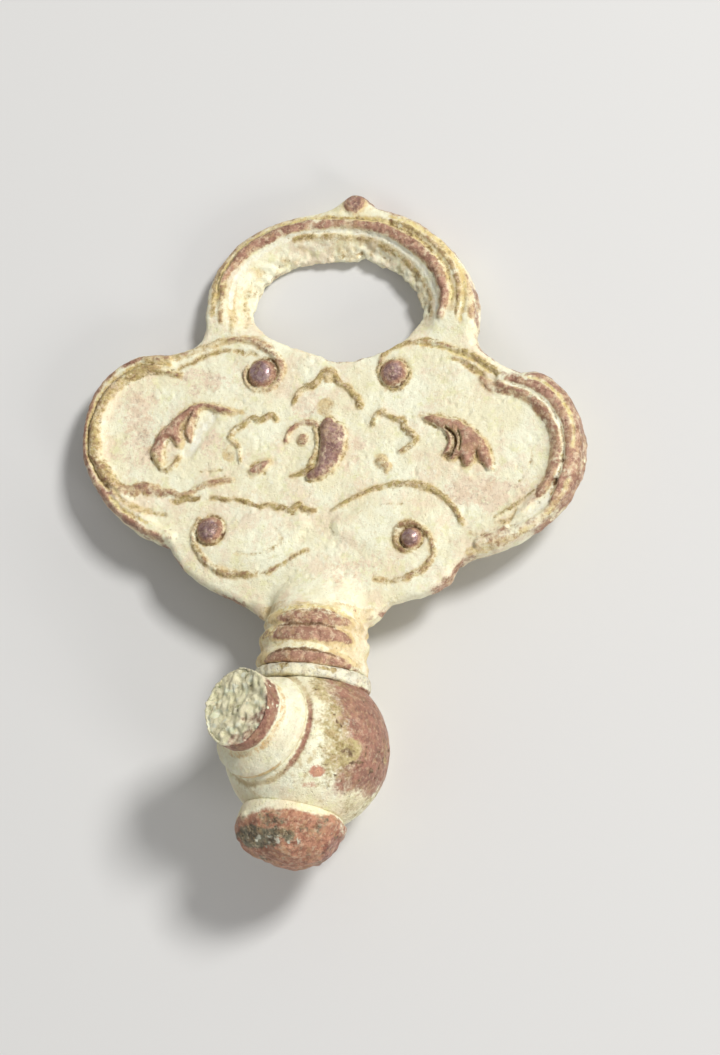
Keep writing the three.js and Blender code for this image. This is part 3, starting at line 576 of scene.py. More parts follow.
def face_relief(xy):
    """Height of the decorated face at each place, its colour masks, and the way to the edge."""
    masks = {name: np.zeros(len(xy)) for name in MASKS}
    flat = np.c_[xy, np.zeros(len(xy))]
    height = np.full(len(xy), FIELD)
    height += waves(flat, (0.05, 3.1, 1), (0.03, 1.3, 2))
    worn = wander(flat)
    mottle = np.clip(0.78 + waves(flat, (0.3, 0.9, 85), (0.22, 0.4, 86)), 0.25, 1)

    from_edge = to_line(xy, EDGE)[0]
    from_eye = to_line(xy, EYE_LOOP)[0]
    ring = step(xy[:, 1], *RING_STARTS)
    slope = step(from_eye, -0.1, RING_SLOPE)
    height += ring * (RING_FOOT + (RING_CREST - RING_FOOT) * slope - height)

    raised, cut, halo = np.zeros((3, len(xy)))
    lay_blushes(xy, flat, masks)
    height += lay_broad_forms(xy, worn, mottle, masks)
    lay_patches(xy, worn, mottle, masks, raised, halo)
    lay_lines(xy, worn, mottle, masks, raised, cut, halo)
    lay_eyes(xy, mottle, masks, raised, cut, halo)
    height += raised - cut

    masks["tan"] = np.clip(0.75 * halo * (0.2 + 0.8 * mottle), 0, 1)
    clouds = np.clip(0.35 + waves(flat, (0.35, 0.8, 89), (0.2, 0.35, 92)), 0, 1)
    lift(masks, "tan", 0.75 * ring * clouds)
    lift(masks, "olive", 0.5 * ring * clouds * (1 - step(from_eye, 0.3, 0.9)))

    # the outer edge and the edge of the eye are rounded over
    height -= EDGE_ROUNDING * (1 - rounded(from_edge, EDGE_ROUNDING))
    height -= (1 - 0.7 * ring) * EYE_ROUNDING * (1 - rounded(from_eye, EYE_ROUNDING))
    return height, masks, from_edge


def only(obj):
    """Makes obj the one selected and active object."""
    if bpy.context.object and bpy.context.object.mode != "OBJECT":
        bpy.ops.object.mode_set(mode="OBJECT")
    bpy.ops.object.select_all(action="DESELECT")
    obj.select_set(True)
    bpy.context.view_layer.objects.active = obj
    return obj


def apply_modifier(obj, kind, **settings):
    """Adds a modifier with its settings and applies it."""
    only(obj)
    modifier = obj.modifiers.new(kind.title(), kind)
    for key, value in settings.items():
        setattr(modifier, key, value)
    bpy.ops.object.modifier_apply(modifier=modifier.name)


def cut_plate(name, loop, bottom, top):
    """A flat plate with the outline of loop, from a circle whose points are moved to it."""
    bpy.ops.object.select_all(action="DESELECT")
    bpy.ops.mesh.primitive_circle_add(vertices=len(loop), radius=1, fill_type="NOTHING")
    obj = bpy.context.object
    obj.name = name
    for vertex, (x, y) in zip(obj.data.vertices, loop):
        vertex.co = (x, y, bottom)
    bpy.ops.object.mode_set(mode="EDIT")
    bpy.ops.mesh.select_all(action="SELECT")
    bpy.ops.mesh.edge_face_add()
    bpy.ops.mesh.extrude_region_move(TRANSFORM_OT_translate={"value": (0, 0, top - bottom)})
    bpy.ops.mesh.select_all(action="SELECT")
    bpy.ops.mesh.normals_make_consistent(inside=False)
    bpy.ops.object.mode_set(mode="OBJECT")
    return obj


def remesh(obj, voxel):
    """Makes obj one closed skin of even small faces."""
    apply_modifier(obj, "REMESH", mode="VOXEL", voxel_size=voxel, adaptivity=0)


def turned(name, profile, direction):
    """A turned solid: a disc drawn out and resized along its profile of (radius, distance)."""
    bpy.ops.object.select_all(action="DESELECT")
    (_, start), (radius, _), *rest = profile
    bpy.ops.mesh.primitive_circle_add(vertices=TURNED_SIDES, radius=radius, fill_type="NGON",
                                      location=(0, 0, start))
    obj = bpy.context.object
    obj.name = name
    bpy.ops.object.transform_apply(location=True, rotation=False, scale=False)
    bpy.ops.object.mode_set(mode="EDIT")
    bpy.ops.mesh.select_all(action="SELECT")
    here = start
    for wide, far in rest:
        wide = max(wide, CLOSING_RADIUS)
        bpy.ops.mesh.extrude_region_move(TRANSFORM_OT_translate={"value": (0, 0, far - here)})
        k = wide / radius
        bpy.ops.transform.resize(value=(k, k, 1), center_override=(0, 0, far))
        here, radius = far, wide
    bpy.ops.mesh.select_all(action="SELECT")
    bpy.ops.mesh.normals_make_consistent(inside=False)
    bpy.ops.object.mode_set(mode="OBJECT")
    turn = Vector((0, 0, 1)).rotation_difference(Vector(direction).normalized())
    obj.data.transform(turn.to_matrix().to_4x4())
    return obj


def places(obj):
    """The places of all vertices."""
    co = np.empty(len(obj.data.vertices) * 3)
    obj.data.vertices.foreach_get("co", co)
    return co.reshape(-1, 3)


def move_to(obj, co):
    """Moves every vertex to its new place."""
    obj.data.vertices.foreach_set("co", co.ravel())
    obj.data.update()


def normals(obj):
    """The outward directions at all vertices."""
    n = np.empty(len(obj.data.vertices) * 3, np.float32)
    obj.data.vertex_normals.foreach_get("vector", n)
    return n.reshape(-1, 3).astype(float)


def edge_ends(obj):
    """The vertices at the two ends of every edge."""
    edges = np.empty(len(obj.data.edges) * 2, int)
    obj.data.edges.foreach_get("vertices", edges)
    return edges.reshape(-1, 2).T


def neighbour_sum(values, a, b):
    """For each vertex, the sum of a value over the vertices that its edges lead to."""
    size = len(values)
    return np.bincount(a, values[b], size) + np.bincount(b, values[a], size)


def hollows(obj):
    """How far each vertex lies under its neighbours' mean, along its normal."""
    a, b = edge_ends(obj)
    co = places(obj)
    count = np.maximum(neighbour_sum(np.ones(len(co)), a, b), 1)
    middle = np.column_stack([neighbour_sum(co[:, axis], a, b) / count for axis in range(3)])
    depth = ((middle - co) * normals(obj)).sum(1)
    for _ in range(3):
        depth = 0.4 * depth + 0.6 * neighbour_sum(depth, a, b) / count
    return depth


def soften(obj, share, rounds):
    """Draws each vertex towards the middle of its neighbours, by its share."""
    a, b = edge_ends(obj)
    touched = (share[a] > 0) | (share[b] > 0)
    a, b = a[touched], b[touched]
    co = places(obj)
    moving = share > 0
    count = neighbour_sum(np.ones(len(co)), a, b)[moving]
    for _ in range(rounds):
        middle = np.column_stack([neighbour_sum(co[:, axis], a, b) for axis in range(3)])
        middle = middle[moving] / count[:, None]
        co[moving] += 0.6 * share[moving, None] * (middle - co[moving])
    move_to(obj, co)


def store(obj, masks):
    """Writes the masks on the mesh, where the material reads them."""
    for name, values in masks.items():
        attribute = obj.data.attributes.new(name, "FLOAT", "POINT")
        attribute.data.foreach_set("value", np.clip(values, 0, 1).astype(np.float32))


def finish_piece(obj, name, masks, material, body, node):
    """Stores the masks, puts the mesh in the frame of the solids, and hands the piece over."""
    store(obj, masks)
    obj.name = name
    obj.data.name = name
    obj.data.transform(KEY)
    resting = places(obj)
    resting[:, 2] = np.maximum(resting[:, 2], TABLE)
    move_to(obj, resting)
    obj.data.materials.clear()
    obj.data.materials.append(material)
    only(obj)
    bpy.ops.object.shade_smooth()
    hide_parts(node)
    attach(obj, body)


# Materials


def srgb(r, g, b):
    """A colour from 0 to 255 as light, with full alpha."""
    light = [((v / 255 + 0.055) / 1.055) ** 2.4 if v > 10 else v / 255 / 12.92 for v in (r, g, b)]
    return (*light, 1)


class Board:
    """A node tree with short calls that place and wire its nodes."""

    def __init__(self, tree):
        self.tree = tree

    def put(self, kind, **settings):
        """A new node with its settings."""
        node = self.tree.nodes.new(kind)
        for key, value in settings.items():
            setattr(node, key, value)
        return node

    def feed(self, socket, value):
        """Wires a socket into another, or sets its value."""
        if isinstance(value, bpy.types.NodeSocket):
            self.tree.links.new(value, socket)
        else:
            socket.default_value = value

    def math(self, operation, a, b):
        """The result of a sum or product."""
        node = self.put("ShaderNodeMath", operation=operation)
        self.feed(node.inputs[0], a)
        self.feed(node.inputs[1], b)
        return node.outputs[0]

    def times(self, a, b):
        """The product of two numbers."""
        return self.math("MULTIPLY", a, b)

    def shade(self, share, a, b):
        """A number that goes from a to b as the share rises to 1."""
        rest = self.math("SUBTRACT", 1.0, share)
        return self.math("ADD", self.times(a, rest), self.times(share, b))

    def blend(self, share, a, b):
        """A colour that goes from a to b as the share rises to 1."""
        node = self.put("ShaderNodeMix", data_type="RGBA")
        self.feed(node.inputs[0], share)
        self.feed(node.inputs[6], a)
        self.feed(node.inputs[7], b)
        return node.outputs[2]

    def soft(self, value, low, high, bottom=0.0, top=1.0):
        """From bottom to top with a soft rise between low and high."""
        node = self.put("ShaderNodeMapRange", interpolation_type="SMOOTHSTEP")
        for socket, v in zip(node.inputs, (value, low, high, bottom, top)):
            self.feed(socket, v)
        return node.outputs[0]

    def noise(self, place, scale, detail=4.0, rough=0.55):
        """Cloudy noise, about 1 / scale millimetres across."""
        node = self.put("ShaderNodeTexNoise")
        self.feed(node.inputs["Vector"], place)
        self.feed(node.inputs["Scale"], scale)
        self.feed(node.inputs["Detail"], detail)
        self.feed(node.inputs["Roughness"], rough)
        return node.outputs["Fac"]

    def cells(self, place, scale):
        """Distance from the nearest of scattered points."""
        node = self.put("ShaderNodeTexVoronoi")
        self.feed(node.inputs["Vector"], place)
        self.feed(node.inputs["Scale"], scale)
        return node.outputs["Distance"]

    def use(self, group, **values):
        """A node group with its values, named as its inputs are."""
        node = self.put("ShaderNodeGroup", node_tree=group)
        for key, value in values.items():
            self.feed(node.inputs[key.capitalize()], value)
        return node.outputs[0]


def new_group(name, inputs, output, kind):
    """An empty node group with its inputs and its one output."""
    group = bpy.data.node_groups.new(name, "ShaderNodeTree")
    for label, (socket, value) in inputs.items():
        item = group.interface.new_socket(label, in_out="INPUT", socket_type=socket)
        if value is not None:
            item.default_value = value
    group.interface.new_socket(output, in_out="OUTPUT", socket_type=kind)
    board = Board(group)
    return group, board, board.put("NodeGroupInput").outputs, board.put("NodeGroupOutput").inputs[0]


def make_cream():
    """Dry cream patina: pale yellow and pinkish clouds with fine grey-green specks."""
    group, b, given, out = new_group(
        "cream patina",
        {"Place": ("NodeSocketVector", None), "Warmth": ("NodeSocketFloat", 0.5)},
        "Colour", "NodeSocketColor")
    place, warmth = given["Place"], given["Warmth"]
    clouds = b.soft(b.noise(place, 0.3, 5, 0.6), 0.4, 0.6)
    colour = b.blend(clouds, srgb(253, 251, 222), srgb(247, 240, 204))
    # scale, detail and roughness of a cloud, where it rises, its share and its colour
    for scale, detail, rough, low, high, share, tone in (
        (0.36, 8, 0.7, 0.47, 0.62, warmth, (241, 216, 186)),
        (1.0, 6, 0.68, 0.52, 0.66, 0.65, (238, 234, 182)),
        (2.2, 6, 0.72, 0.53, 0.66, 0.75, (254, 251, 226)),
        (3.2, 6, 0.75, 0.54, 0.66, 0.4, (222, 198, 152)),
        (5.5, 5, 0.78, 0.58, 0.68, 0.5, (178, 160, 116)),
    ):
        cloud = b.soft(b.noise(place, scale, detail, rough), low, high)
        colour = b.blend(b.times(cloud, share), colour, srgb(*tone))
    b.feed(out, colour)
    return group


def make_ragged():
    """Breaks a soft mask into flecks, wherever the mask isn't nought."""
    group, b, given, out = new_group(
        "ragged mask",
        {"Mask": ("NodeSocketFloat", 0.0), "Place": ("NodeSocketVector", None),
         "Scale": ("NodeSocketFloat", 3.0), "Break": ("NodeSocketFloat", 0.5)},
        "Mask", "NodeSocketFloat")
    mask = given["Mask"]
    wide = b.math("SUBTRACT", b.noise(given["Place"], given["Scale"], 6, 0.7), 0.5)
    fine = b.math("SUBTRACT", b.noise(given["Place"], 3.4, 5, 0.7), 0.5)
    shift = b.math("ADD", b.times(wide, 3.0), b.times(fine, 2.6))
    shift = b.times(b.times(shift, given["Break"]), b.soft(mask, 0.0, 0.25))
    b.feed(out, b.soft(b.math("ADD", mask, shift), 0.2, 0.8))
    return group


def make_metal():
    """Worn bare metal: two tones with tan and dark flecks, and pale flecks that are partly painted sheen."""
    group, b, given, out = new_group(
        "worn metal",
        {"Place": ("NodeSocketVector", None), "Main": ("NodeSocketColor", srgb(160, 122, 108)),
         "Deep": ("NodeSocketColor", srgb(132, 96, 86)), "Flecks": ("NodeSocketFloat", 1.0)},
        "Colour", "NodeSocketColor")
    place, flecks = given["Place"], given["Flecks"]
    colour = b.blend(b.soft(b.noise(place, 1.4, 7, 0.72), 0.42, 0.6), given["Main"], given["Deep"])
    for scale, low, high, share, tone in (
        (1.5, 0.5, 0.6, 0.65, (204, 170, 122)),
        (2.6, 0.53, 0.61, 0.75, (106, 72, 50)),
        # pale flecks: pale wear, and painted sheen on the bare metal
        (3.1, 0.53, 0.6, 0.8, (232, 210, 176)),
    ):
        part = b.times(b.soft(b.noise(place, scale, 4, 0.66), low, high), share)
        colour = b.blend(b.times(part, flecks), colour, srgb(*tone))
    b.feed(out, colour)
    return group


def make_grain():
    """Height of the cast and corroded surface: soft lumps, grit and small pits."""
    group, b, given, out = new_group(
        "cast grain",
        {"Place": ("NodeSocketVector", None), "Pits": ("NodeSocketFloat", 0.5)},
        "Height", "NodeSocketFloat")
    place = given["Place"]
    lumpy = b.noise(place, 1.5, 5, 0.65)
    grit = b.noise(place, 4.2, 6, 0.78)
    pits = b.times(b.soft(b.cells(place, 2.6), 0.02, 0.22, 1.0, 0.0), given["Pits"])
    height = b.math("ADD", b.times(lumpy, 0.9), grit)
    b.feed(out, b.math("SUBTRACT", height, pits))
    return group


# Depth of the grain in the patina and the steel, and how much of it the polish takes away
PATINA_GRAIN = 0.15
STEEL_GRAIN = 0.03
POLISHED_AWAY = 0.85

CREAM = make_cream()
RAGGED = make_ragged()
METAL = make_metal()
GRAIN = make_grain()


def key_place(board):
    """The place on the surface in the key's own frame, in millimetres."""
    node = board.put("ShaderNodeMapping", vector_type="POINT")
    board.feed(node.inputs["Vector"], board.put("ShaderNodeTexCoord").outputs["Object"])
    back = TURN.transposed()
    node.inputs["Scale"].default_value = (1 / MM,) * 3
    node.inputs["Rotation"].default_value = back.to_euler()
    node.inputs["Location"].default_value = -(back @ BALL_CENTRE) / MM
    return node.outputs["Vector"]


def bumpy(board, shader, height, strength, distance):
    """Feeds a height through a Bump node to the shader's normal."""
    node = board.put("ShaderNodeBump")
    node.inputs["Strength"].default_value = strength
    node.inputs["Distance"].default_value = distance * MM
    board.feed(node.inputs["Height"], height)
    board.feed(shader.inputs["Normal"], node.outputs["Normal"])


def patinated(name, layers, warmth=0.5, pits=0.35, bump=0.7):
    """A patina under layers of other finishes.

    Each layer is (mask, colour, second colour, roughness, metallic, break, scale, flecks).
    """
    material = bpy.data.materials.new(name)
    material.use_nodes = True
    b = Board(material.node_tree)
    shader = material.node_tree.nodes["Principled BSDF"]
    place = key_place(b)
    colour = b.use(CREAM, place=place, warmth=warmth)
    rough = b.soft(b.noise(place, 3.0), 0.3, 0.7, 0.72, 0.9)
    metal = 0.0
    height = b.use(GRAIN, place=place, pits=pits)
    for mask, one, two, roughness, metallic, ragged, scale, flecks in layers:
        raw = b.put("ShaderNodeAttribute", attribute_name=mask).outputs["Fac"]
        share = b.use(RAGGED, mask=raw, place=place, scale=scale, **{"break": ragged})
        tone = b.use(METAL, place=place, main=srgb(*one), deep=srgb(*two), flecks=flecks)
        colour = b.blend(share, colour, tone)
        rough = b.shade(share, rough, roughness)
        if metallic or metal:
            metal = b.shade(share, metal, metallic)
        if mask == "polish":
            height = b.times(height, b.math("SUBTRACT", 1.0, b.times(share, POLISHED_AWAY)))
    b.feed(shader.inputs["Base Color"], colour)
    b.feed(shader.inputs["Roughness"], rough)
    b.feed(shader.inputs["Metallic"], metal)
    bumpy(b, shader, height, bump, PATINA_GRAIN)
    return material


PINK_LAYER = ("pink", (245, 227, 198), (239, 216, 186), 0.75, 0.0, 0.75, 0.9, 0.35)
TAN_LAYER = ("tan", (232, 211, 160), (218, 192, 138), 0.75, 0.0, 0.35, 1.2, 0.3)
OLIVE_LAYER = ("olive", (188, 168, 108), (154, 131, 78), 0.7, 0.05, 0.5, 2.2, 0.7)
GOLD_LAYER = ("yellow", (240, 226, 162), (222, 196, 130), 0.65, 0.0, 0.6, 2.2, 0.5)
# The pale layer is pale patina, and also a painted highlight where the relief's lines and hollows are painted pale
PALE_AND_HIGHLIGHT_LAYER = ("pale", (254, 252, 232), (250, 245, 214), 0.55, 0.0, 0.4, 2.2, 0.15)
BARE_LAYER = ("bare", (194, 150, 126), (162, 118, 96), 0.34, 0.3, 0.45, 1.4, 0.6)
DARK_LAYER = ("dark", (122, 88, 52), (92, 64, 38), 0.75, 0.0, 0.4, 2.4, 0.2)
POLISH_LAYER = ("polish", (176, 148, 150), (134, 102, 96), 0.29, 0.5, 0.3, 1.4, 0.3)

bow_bronze = patinated(
    "bow bronze",
    [PINK_LAYER, TAN_LAYER, GOLD_LAYER, PALE_AND_HIGHLIGHT_LAYER, OLIVE_LAYER, BARE_LAYER, DARK_LAYER,
     POLISH_LAYER], 0.6)
collar_brass = patinated(
    "collar brass",
    [("grey", (238, 235, 214), (216, 211, 184), 0.8, 0.0, 0.7, 1.8, 0.4), OLIVE_LAYER, BARE_LAYER],
    0.2, 0.7, 0.9)
ball_bronze = patinated(
    "ball bronze",
    [("tan", (226, 212, 172), (210, 192, 146), 0.75, 0.0, 0.5, 1.4, 0.2),
     ("bare", (174, 124, 103), (144, 102, 84), 0.38, 0.15, 0.4, 0.9, 0.34),
     ("green", (198, 182, 130), (160, 140, 86), 0.6, 0.05, 0.5, 1.1, 0.4),
     ("salmon", (216, 158, 130), (202, 140, 114), 0.6, 0.0, 0.5, 1.6, 0.3),
     ("dark", (118, 92, 64), (86, 62, 44), 0.7, 0.0, 0.5, 2.4, 0.2)], 0.35, 0.6, 0.8)
side_brass = patinated(
    "side root brass",
    [("yellow", (238, 214, 158), (222, 186, 128), 0.6, 0.0, 0.6, 2.0, 0.4),
     ("bare", (176, 128, 108), (140, 94, 78), 0.28, 0.25, 0.4, 1.4, 0.35),
     ("broken", (250, 243, 206), (234, 229, 186), 0.5, 0.0, 0.3, 2.0, 0.2),
     ("dark", (170, 174, 126), (112, 106, 70), 0.4, 0.1, 0.7, 1.6, 0.5),
     ("pale", (246, 247, 222), (232, 236, 200), 0.45, 0.0, 0.7, 3.2, 0.1)], 0.4, 0.4, 0.9)
lower_brass = patinated(
    "lower root brass",
    [("broken", (202, 147, 117), (164, 109, 84), 0.42, 0.1, 0.4, 0.9, 0.45),
     ("bare", (178, 130, 118), (138, 92, 80), 0.38, 0.2, 0.5, 0.9, 0.35),
     ("dark", (136, 130, 104), (88, 78, 58), 0.45, 0.05, 0.6, 1.1, 0.5),
     ("pale", (230, 228, 206), (206, 206, 184), 0.5, 0.0, 0.8, 3.0, 0.3)], 0.4, 0.6, 0.9)


def stem_finish():
    """Browned steel, rusty in patches."""
    material = bpy.data.materials.new("browned stem steel")
    material.use_nodes = True
    b = Board(material.node_tree)
    shader = material.node_tree.nodes["Principled BSDF"]
    place = key_place(b)
    rust = b.soft(b.noise(place, 1.6, 5, 0.7), 0.42, 0.62)
    b.feed(shader.inputs["Base Color"], b.blend(rust, srgb(128, 118, 108), srgb(104, 70, 48)))
    b.feed(shader.inputs["Roughness"], b.soft(rust, 0, 1, 0.38, 0.7))
    b.feed(shader.inputs["Metallic"], b.soft(rust, 0, 1, 0.9, 0.35))
    bumpy(b, shader, b.use(GRAIN, place=place, pits=0.3), 0.4, STEEL_GRAIN)
    return material


# Bow casting


def join_bow():
    """The plate with its eye cut through it and the neck joined on, as one skin."""
    bow = cut_plate("bow casting", EDGE, BACK, FIELD)
    hole = cut_plate("eye cutter", EYE, BACK - 1, FIELD + 1)
    apply_modifier(bow, "BOOLEAN", object=hole, operation="DIFFERENCE", solver="EXACT")
    bpy.data.objects.remove(hole)
    neck = turned("neck", NECK_PROFILE, (0, 1, 0))
    co = places(neck)
    co[:, 2] *= np.interp(co[:, 1], FAN_HEIGHTS, FAN_SHARES)
    move_to(neck, co)
    only(bow)
    neck.select_set(True)
    bpy.ops.object.join()
    remesh(bow, VOXEL)
    return bow


def raise_ornament(bow):
    """Moves the plate's face to the relief and smooths the fan at the neck's end."""
    co = places(bow)
    x, y, z = co.T
    plate = (z > BACK - 0.05) & (z < FIELD + 0.05) & ((y > 9.3) | (np.abs(x) > 3.95))
    height, _, from_edge = face_relief(co[plate, :2])
    away = clear_of_neck(co[plate], 0.95, 1.25)
    height = FIELD + (height - FIELD) * away
    under = BACK + BACK_ROUNDING * (1 - rounded(from_edge, BACK_ROUNDING)) * away
    t = (z[plate] - BACK) / (FIELD - BACK)
    co[plate, 2] = under + t * (height - under)
    move_to(bow, co)
    fan = step(co[:, 1], 9.9, 10.5) * (1 - step(co[:, 1], 14.2, 15.5)) * step(co[:, 2], -0.6, 0.2)
    soften(bow, fan * (1 - step(np.abs(co[:, 0]), 4.6, 5.6)), 30)


def roughen_bow(bow):
    """The casting's skin: lumps, ragged walls, a chip and scattered pits."""
    co = places(bow)
    n = normals(bow)
    wall = 1 - step(np.abs(n[:, 2]), 0.3, 0.8)
    skin = waves(co, (0.03, 0.5, 3), (0.02, 0.24, 4))
    skin += wall * waves(co, (0.07, 0.9, 5), (0.05, 0.4, 6))
    inner = 1 - step(to_line(co[:, :2], EYE_LOOP)[0], 0.2, 1.6)
    inner *= step(co[:, 1], 31.5, 33.5)
    skin += inner * waves(co, (0.12, 0.5, 7), (0.1, 0.26, 8))
    from_chip = np.hypot(co[:, 0] - RING_CHIP[0], co[:, 1] - RING_CHIP[1])
    skin -= 0.3 * (1 - step(from_chip, 0.1, 0.34)) * step(co[:, 2], -0.7, 0.0)
    skin -= 0.08 * step(lumps(co, 0.33, 9), 0.62, 0.85)
    flat_back = (co[:, 2] < BACK + 0.02) & (n[:, 2] < -0.9)
    skin[flat_back] = 0
    move_to(bow, co + n * skin[:, None])
    apply_modifier(bow, "DECIMATE", ratio=BOW_SHARE)


def make_bow():
    """The bow casting with its relief, its worn skin and its colour masks."""
    bow = join_bow()
    raise_ornament(bow)
    roughen_bow(bow)
    co = places(bow)
    _, masks, _ = face_relief(co[:, :2])
    front = step(normals(bow)[:, 2], 0.1, 0.45) * step(co[:, 2], -0.6, -0.2)
    front *= clear_of_neck(co, 0.95, 1.1)
    for name in MASKS:
        masks[name] *= front
    wear_neck(co, masks)
    edge_wear_and_hollow_shade(bow, masks)
    return bow, masks


# Worn crescents of the neck: the two heights they lie between at their middle, how high their
# ends lie, the angles round the neck where they start and end, and their finish
NECK_WEAR = [
    ((8.3, 10.3), 9.2, 20, 140, dict(yellow=0.35, tan=0.9, bare=0.1)),
    ((7.15, 8.9), 7.8, 20, 144, dict(yellow=0.3, tan=0.9, bare=0.15)),
    ((5.7, 6.95), 5.7, 10, 142, dict(yellow=0.35, tan=0.9, bare=0.1)),
    ((9.72, 10.15), 9.55, 26, 134, dict(yellow=0.75, bare=0.25)),
    ((8.6, 9.7), 9.0, 26, 122, dict(bare=0.66, olive=0.2, tan=0.7)),
    ((7.37, 8.68), 7.65, 26, 137, dict(bare=0.78, tan=0.7)),
    ((8.46, 8.78), 8.42, 44, 120, dict(dark=0.85, olive=0.8, bare=0.7)),
    ((9.6, 9.84), 9.0, 34, 118, dict(olive=0.8, dark=0.4, bare=0.6)),
    ((7.6, 8.3), 7.7, 118, 150, dict(yellow=0.9, bare=0.45, dark=0.25)),
    ((7.9, 8.4), 8.1, 116, 146, dict(yellow=0.7, bare=0.4)),
    ((6.75, 7.3), 6.9, 50, 140, dict(yellow=0.4)),
    ((5.7, 6.66), 5.66, 22, 134, dict(bare=0.8, tan=0.7)),
    ((6.54, 6.84), 5.95, 40, 128, dict(dark=0.85, olive=0.8, bare=0.7)),
    ((5.7, 6.0), 5.7, 8, 30, dict(bare=0.6, yellow=0.3)),
    ((7.4, 8.4), 7.9, 205, 300, dict(bare=0.7)),
    ((5.9, 6.7), 6.3, 190, 260, dict(bare=0.7)),
    ((8.8, 9.5), 9.1, 230, 310, dict(bare=0.6)),
]


def wear_neck(co, masks):
    """Bare bands and dirty grooves of the neck, strongest on the decorated side."""
    x, y, z = co.T
    turn = np.degrees(np.arctan2(z, x))
    radius = np.hypot(x, z)
    neck = (y < 10.6) & (radius > 3.0) & (radius < 4.4)
    lift(masks, "tan", neck * (0.46 + 0.35 * lumps(co, 0.9, 87)))
    ragged = waves(co, (0.1, 0.7, 13), (0.06, 0.3, 14))
    for (low, high), ends, start, end, finish in NECK_WEAR:
        centre, reach = (start + end) / 2, (end - start) / 2
        off = np.abs((turn - centre + 180) % 360 - 180) / reach
        open_share = np.sqrt(np.clip(1 - off**2, 0, 1))
        bottom = ends + (low - ends) * open_share + ragged
        top = ends + (high - ends) * open_share + ragged
        inside = np.minimum(y - bottom, top - y)
        strength = step(inside, -0.14, 0.18) * (1 - step(off, 0.86, 1.02)) * neck
        paint(masks, slice(None), strength, finish)


def edge_wear_and_hollow_shade(bow, masks):
    """Bare metal on proud edges and walls; olive patina in the hollows, and dark grime with painted shade in the
    deepest of them.
    """
    depth = hollows(bow)
    co = places(bow)
    wall = (1 - step(np.abs(normals(bow)[:, 2]), 0.25, 0.7)) * (co[:, 1] > 10.2)
    rub = step(waves(co, (1.0, 2.3, 11), (0.4, 0.8, 12)), -0.35, 0.5)
    right = step(co[:, 0], 11.5, 13.5) * step(co[:, 1], 16.0, 19.0)
    rub = np.maximum(rub, right * (0.85 + 0.3 * lumps(co, 0.9, 88)))
    lift(masks, "bare", (0.75 + 0.15 * right) * wall * rub)
    lift(masks, "bare", 0.5 * step(-depth, 0.006, 0.02) * step(rub, 0.3, 0.9))
    lift(masks, "olive", 0.55 * step(depth, 0.006, 0.018))
    # grime and painted shade: the deepest hollows are darkened
    lift(masks, "dark", 0.6 * step(depth, 0.014, 0.028))


# Ball, collar and the two pipe roots

# The two pipes' directions
SIDE = np.array([-0.364, 0.173, 0.915])
SIDE /= np.linalg.norm(SIDE)
LOWER = np.array([-0.057, -0.994, 0.072])
LOWER /= np.linalg.norm(LOWER)
BALL_RADIUS = 5.94
# Flats of the ball: the way that each faces, and its distance from the centre
SEATS = [(np.array([0.0, 1.0, 0.0]), 4.72), (SIDE, 4.5), (LOWER, 4.55)]
# The ball is worn a little off the neck's axis, and the broken pipe off its flange's
BALL_LEAN = 0.2 * RIGHTWARDS + 0.18 * UPWARDS
PIPE_LEAN = 0.14 * RIGHTWARDS + 0.22 * UPWARDS
COLLAR_PROFILE = [(0, 4.78), (3.9, 4.78), (4.1, 4.9), (4.14, 5.1), (4.14, 5.4), (4.05, 5.62),
                  (3.8, 5.73), (0, 5.74)]
SIDE_PROFILE = [(0, 4.46), (3.7, 4.46), (3.84, 4.6), (3.88, 4.8), (3.88, 5.05), (3.8, 5.2),
                (3.6, 5.38), (3.36, 5.58), (3.14, 5.78), (3.0, 5.96), (2.9, 6.1), (2.8, 6.24),
                (2.78, 6.4), (2.86, 6.6), (2.88, 9.4), (0, 9.4)]
LOWER_PROFILE = [(0, 4.5), (3.6, 4.5), (3.68, 4.7), (3.8, 5.0), (3.93, 5.35), (3.98, 5.6),
                 (3.93, 5.85), (3.78, 6.2), (3.5, 6.75), (3.1, 7.25), (2.6, 7.7), (1.9, 8.1),
                 (1.1, 8.38), (0.5, 8.5), (0, 8.52)]
# How far out along the side pipe its break lies, and the way that the break faces
SIDE_BREAK = 7.95
BREAK_NORMAL = np.array([-0.35, 0.06, 0.935])
BREAK_NORMAL /= np.linalg.norm(BREAK_NORMAL)
# A root keeps its turned skin up to this distance from the ball's centre, where it is seated
ROOT_FOOT = 4.6
# The collar's lip hangs below its foot, and the side flange still turns clear of it
COLLAR_FOOT = 4.74
COLLAR_TOP = 5.75
LIP_DROP = 0.22
LIP_REACH = 0.16
FLANGE_GAP = 0.06
# Radius, width and depth of the groove in the ball round the side flange
GROOVE_RADIUS = 4.1
GROOVE_WIDTH = 0.18
GROOVE_DEPTH = 0.15


def on_ball(co, right, up, reach_right, reach_up, wobble, seed):
    """A round patch on the near side of the ball, placed by its distance right and up."""
    r, u = co @ RIGHTWARDS, co @ UPWARDS
    out = np.hypot((r - right) / reach_right, (u - up) / reach_up)
    out += wobble * lumps(co, 0.9, seed) + 0.5 * wobble * lumps(co, 0.35, seed + 1)
    return (1 - step(out, 0.6, 1.2)) * (co @ OUTWARDS > -0.5)


def off_axis(co, axis):
    """The way to each place from the nearest point of an axis through the ball's centre."""
    return co - (co @ axis)[:, None] * axis


